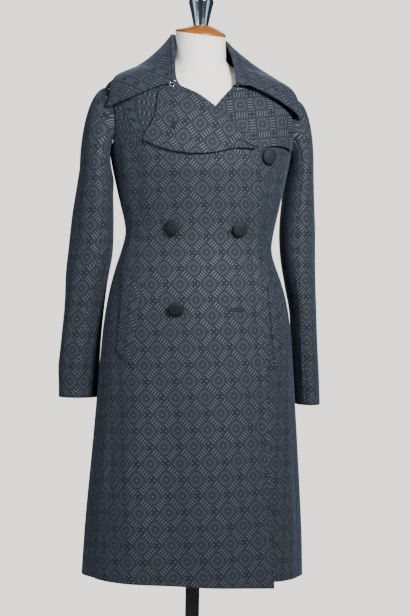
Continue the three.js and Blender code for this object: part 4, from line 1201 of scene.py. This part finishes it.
turn = np.arange(FORM_COLUMNS) * 2 * np.pi / FORM_COLUMNS
places_up = mix(place_at(FORM_BOTTOM), NECKLINE - 0.4, np.linspace(0, 1, 21))[:, None]
heights = read(BODY, places_up)[..., 0]
depth = CLOTH + 2.2 + 6 * (1 - smooth(1290, 1362, heights)) + 8 * (1 - smooth(1000, 1120, heights))
angles = np.broadcast_to(turn, (21, FORM_COLUMNS))
ups = np.broadcast_to(places_up, angles.shape)
torso = body_point(angles, ups) - body_normal(angles, ups) * depth[..., None]
torso[0, :, 2] = FORM_BOTTOM
neck = np.array(NECK, float)[:, None, :]
reach = np.where(np.cos(turn) > 0, neck[..., 2], neck[..., 3])
necks = np.stack([
    neck[..., 1] * np.sin(turn) + NECK_SHIFT,
    neck[..., 4] - reach * np.cos(turn),
    np.broadcast_to(neck[..., 0], reach.shape),
], -1)
necks = slanted(necks, np.clip((neck[..., 0] - 1430) / (NECK_TOP - 1430), 0, 1))
rings = np.concatenate([torso, necks])
count = len(rings)
fine = read(rings.reshape(count, -1), np.linspace(0, count - 1, 5 * count)).reshape(-1, FORM_COLUMNS, 3)
seam_height = 1386 + 22 * (1 - np.cos(turn)) / 2
fine_normals = unit(np.cross(np.roll(fine, -1, 1) - np.roll(fine, 1, 1), np.gradient(fine, axis=0)))
fine = fine - fine_normals * (0.9 * np.exp(-((fine[..., 2] - seam_height) / 1.6)**2))[..., None]
middle_low, middle_high = fine[0].mean(0), fine[-1].mean(0)
caps_low = [mix(middle_low, fine[0], share) for share in (0.0005, 0.3, 0.6, 0.9, 0.97)]
caps_high = [mix(middle_high, fine[-1], share) for share in (0.97, 0.9, 0.6, 0.3, 0.0005)]
fine = np.concatenate([np.array(caps_low), fine, np.array(caps_high)])
index = np.arange(fine[..., 0].size).reshape(fine.shape[:2])
following = np.roll(index, -1, 1)
quads = np.stack([index[:-1], following[:-1], following[1:], index[1:]], -1).reshape(-1, 4)
form = mesh_of("dress_form", fine.reshape(-1, 3), quads)
form.data.materials.append(jersey)
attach(form, "root")
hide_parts("form_torso")

# The neck cap and the finial
# A turned cap of varnished wood closes the neck, and a finial of polished metal stands on it, narrow at the
# foot and wide at the top.
CAP = [
    [0.01, 0], [30, 0], [49.6, 0], [50.8, 0.6], [51, 1.3], [50.7, 2.4], [49.6, 3.6],
    [47, 5], [40, 7.4], [32, 10], [27, 12], [24, 12.9], [12, 13], [0.01, 13],
]
CAP_HEIGHT = 13
FINIAL = [
    [0.01, 0], [10, 0], [14.5, 0], [15, 0.7], [15, 2], [17.5, 15], [21, 31],
    [25, 47], [25.2, 50], [23.6, 54.6], [17, 59.5], [8, 62.3], [0.01, 63],
]

varnished, tree, shader = material("varnished_wood", 0.4, Coat_Weight=0.25, Coat_Roughness=0.2)
places = node(tree, "ShaderNodeTexCoord")
stretch = node(tree, "ShaderNodeMapping", inputs={"Scale": (4.0, 60.0, 160.0)})
grain = node(tree, "ShaderNodeTexNoise", inputs={"Scale": 1.0, "Detail": 5.0, "Distortion": 0.6})
tree.links.new(places.outputs["Object"], stretch.inputs[0])
tree.links.new(stretch.outputs[0], grain.inputs["Vector"])
tree.links.new(mixed(tree, grain.outputs[0], (0.18, 0.042, 0.003), (0.40, 0.125, 0.010)),
               shader.inputs["Base Color"])

polished, tree, shader = material("polished_metal", 0.14, metallic=1.0)
places = node(tree, "ShaderNodeTexCoord")
rubbed = node(tree, "ShaderNodeTexNoise", inputs={"Scale": 60.0, "Detail": 4.0})
tree.links.new(places.outputs["Object"], rubbed.inputs["Vector"])
tree.links.new(mixed(tree, rubbed.outputs[0], (0.42, 0.52, 0.60), (0.56, 0.66, 0.74)),
               shader.inputs["Base Color"])
tree.links.new(calc(tree, "MULTIPLY_ADD", rubbed.outputs[0], 0.12, 0.06), shader.inputs["Roughness"])


def turned_piece(name, profile, x, y, foot, finish, replaced, segments=96):
    """A turned part on an upright axis, standing at a height."""
    points, quads = lathed(profile, segments)
    piece = mesh_of(name, points + [x, y, foot], quads)
    piece.data.materials.append(finish)
    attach(piece, "root")
    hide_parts(replaced)
    return piece


cap_foot = NECK_TOP + SEAM
points, quads = lathed(rounded(CAP, 90), 96)
points = slanted(points + [NECK_SHIFT, -5, cap_foot], 1 - smooth(0, CAP_HEIGHT, points[:, 2]))
cap = mesh_of("wooden_cap", points, quads)
cap.data.materials.append(varnished)
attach(cap, "root")
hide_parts("neck_cap")
turned_piece("metal_finial", rounded(FINIAL, 120), NECK_SHIFT, -5, cap_foot + CAP_HEIGHT + SEAM, polished,
             "finial")

# The pole and the base
# A steel tube carries the form on a flat round base plate. Both are painted satin black.
BASE = [
    [0.01, 0], [60, 0], [189, 0], [190, 1], [190, 7],
    [189.3, 8.8], [187.5, 9.8], [185, 10], [60, 10], [0.01, 10],
]
POLE_FOOT = 10 + SEAM

painted, tree, shader = material("painted_steel", 0.38, metallic=0.3)
places = node(tree, "ShaderNodeTexCoord")
speckle = node(tree, "ShaderNodeTexNoise", inputs={"Scale": 700.0, "Detail": 2.0})
tree.links.new(places.outputs["Object"], speckle.inputs["Vector"])
tree.links.new(mixed(tree, speckle.outputs[0], (0.016, 0.019, 0.024), (0.030, 0.034, 0.042)),
               shader.inputs["Base Color"])
tree.links.new(calc(tree, "MULTIPLY_ADD", speckle.outputs[0], 0.2, 0.28), shader.inputs["Roughness"])
relief = node(tree, "ShaderNodeBump", inputs={"Strength": 0.15, "Distance": 0.0001})
tree.links.new(speckle.outputs[0], relief.inputs["Height"])
tree.links.new(relief.outputs[0], shader.inputs["Normal"])

pole_length = FORM_BOTTOM - SEAM - POLE_FOOT
pole_profile = [[0.01, 0], [13.2, 0], [14, 0.8]] + [[14, h] for h in np.linspace(4, pole_length - 4, 12)]
pole_profile += [[14, pole_length - 0.8], [13.2, pole_length], [0.01, pole_length]]
turned_piece("steel_pole", pole_profile, 0, 0, POLE_FOOT, painted, "pole", segments=64)
turned_piece("base_plate", BASE, 0, 0, 0, painted, "base", segments=160)

# The studio
# A pale round floor, soft lights from the front and both sides, and a pale surround. The camera stands low,
# level and a little to the coat's right, as the photograph's did.
turn = np.arange(96) * 2 * np.pi / 96
rim = np.stack([1200 * np.cos(turn), 1200 * np.sin(turn), 0 * turn - 0.2], -1)
discs = np.concatenate([rim * [share, share, 1] for share in (0.001, 0.5, 1.0)])
index = np.arange(288).reshape(3, 96)
following = np.roll(index, -1, 1)
quads = np.stack([index[:-1], index[1:], following[1:], following[:-1]], -1).reshape(-1, 4)
floor = mesh_of("floor", discs, quads)
pale, tree, shader = material("pale_floor", 0.8)
places = node(tree, "ShaderNodeTexCoord")
dust = node(tree, "ShaderNodeTexNoise", inputs={"Scale": 3.0})
tree.links.new(places.outputs["Object"], dust.inputs["Vector"])
tree.links.new(mixed(tree, dust.outputs[0], (0.62, 0.60, 0.56), (0.66, 0.64, 0.60)),
               shader.inputs["Base Color"])
floor.data.materials.append(pale)


def lamp(name, place, aim, size, power, colour):
    """A soft square light that faces a point."""
    light = bpy.data.lights.new(name, "AREA")
    light.size, light.energy, light.color = size, power, colour
    piece = bpy.data.objects.new(name, light)
    piece.location = place
    piece.rotation_euler = (Vector(aim) - Vector(place)).to_track_quat("-Z", "Y").to_euler()
    bpy.context.scene.collection.objects.link(piece)


lamp("key_light", (0.5, -1.45, 1.7), (0, 0, 1.25), 0.5, 56, (1.0, 0.99, 0.97))
lamp("left_light", (-1.7, -1.5, 1.6), (0, 0, 1.2), 0.8, 30, (0.90, 0.95, 1.0))
lamp("back_light", (0.4, 2.6, 2.4), (0, 0, 1.0), 2.0, 45, (1.0, 1.0, 1.0))
lamp("right_panel", (1.75, -1.0, 1.25), (0, 0, 1.3), 0.9, 3, (0.8, 0.9, 1.0))
lamp("left_panel", (-1.95, -0.35, 1.25), (0, 0, 1.3), 0.9, 3, (0.8, 0.9, 1.0))

world = bpy.data.worlds.new("studio")
world.use_nodes = True
bpy.context.scene.world = world
tree = world.node_tree
surround = tree.nodes["Background"]
surround.inputs["Color"].default_value = (0.66, 0.63, 0.57, 1)
surround.inputs["Strength"].default_value = 0.25
seen = node(tree, "ShaderNodeBackground", inputs={"Color": (0.63, 0.61, 0.57, 1), "Strength": 3.0})
mirrored = node(tree, "ShaderNodeBackground", inputs={"Color": (0.4, 0.5, 0.6, 1), "Strength": 0.12})
path = node(tree, "ShaderNodeLightPath")
bounced = node(tree, "ShaderNodeMixShader")
either = node(tree, "ShaderNodeMixShader")
tree.links.new(path.outputs["Is Glossy Ray"], bounced.inputs[0])
tree.links.new(surround.outputs[0], bounced.inputs[1])
tree.links.new(mirrored.outputs[0], bounced.inputs[2])
tree.links.new(path.outputs["Is Camera Ray"], either.inputs[0])
tree.links.new(bounced.outputs[0], either.inputs[1])
tree.links.new(seen.outputs[0], either.inputs[2])
tree.links.new(either.outputs[0], tree.nodes["World Output"].inputs["Surface"])

VIEW, ROLL_ANGLE = 9 * DEGREE, 1.014 * DEGREE
ahead = Vector((np.sin(VIEW), np.cos(VIEW), 0))
right = Vector((np.cos(VIEW), -np.sin(VIEW), 0))
up = Vector((0, 0, 1))
camera_data = bpy.data.cameras.new("camera")
camera_data.lens = 81.8
camera_data.sensor_width = 36
camera = bpy.data.objects.new("camera", camera_data)
rolled_right = right * np.cos(ROLL_ANGLE) + up * np.sin(ROLL_ANGLE)
rolled_up = up * np.cos(ROLL_ANGLE) - right * np.sin(ROLL_ANGLE)
turned = Matrix((rolled_right, rolled_up, -ahead)).transposed()
camera.matrix_world = Matrix.Translation(right * 0.0151 - ahead * 2.8 + up * 0.934) @ turned.to_4x4()
bpy.context.scene.collection.objects.link(camera)
bpy.context.scene.camera = camera
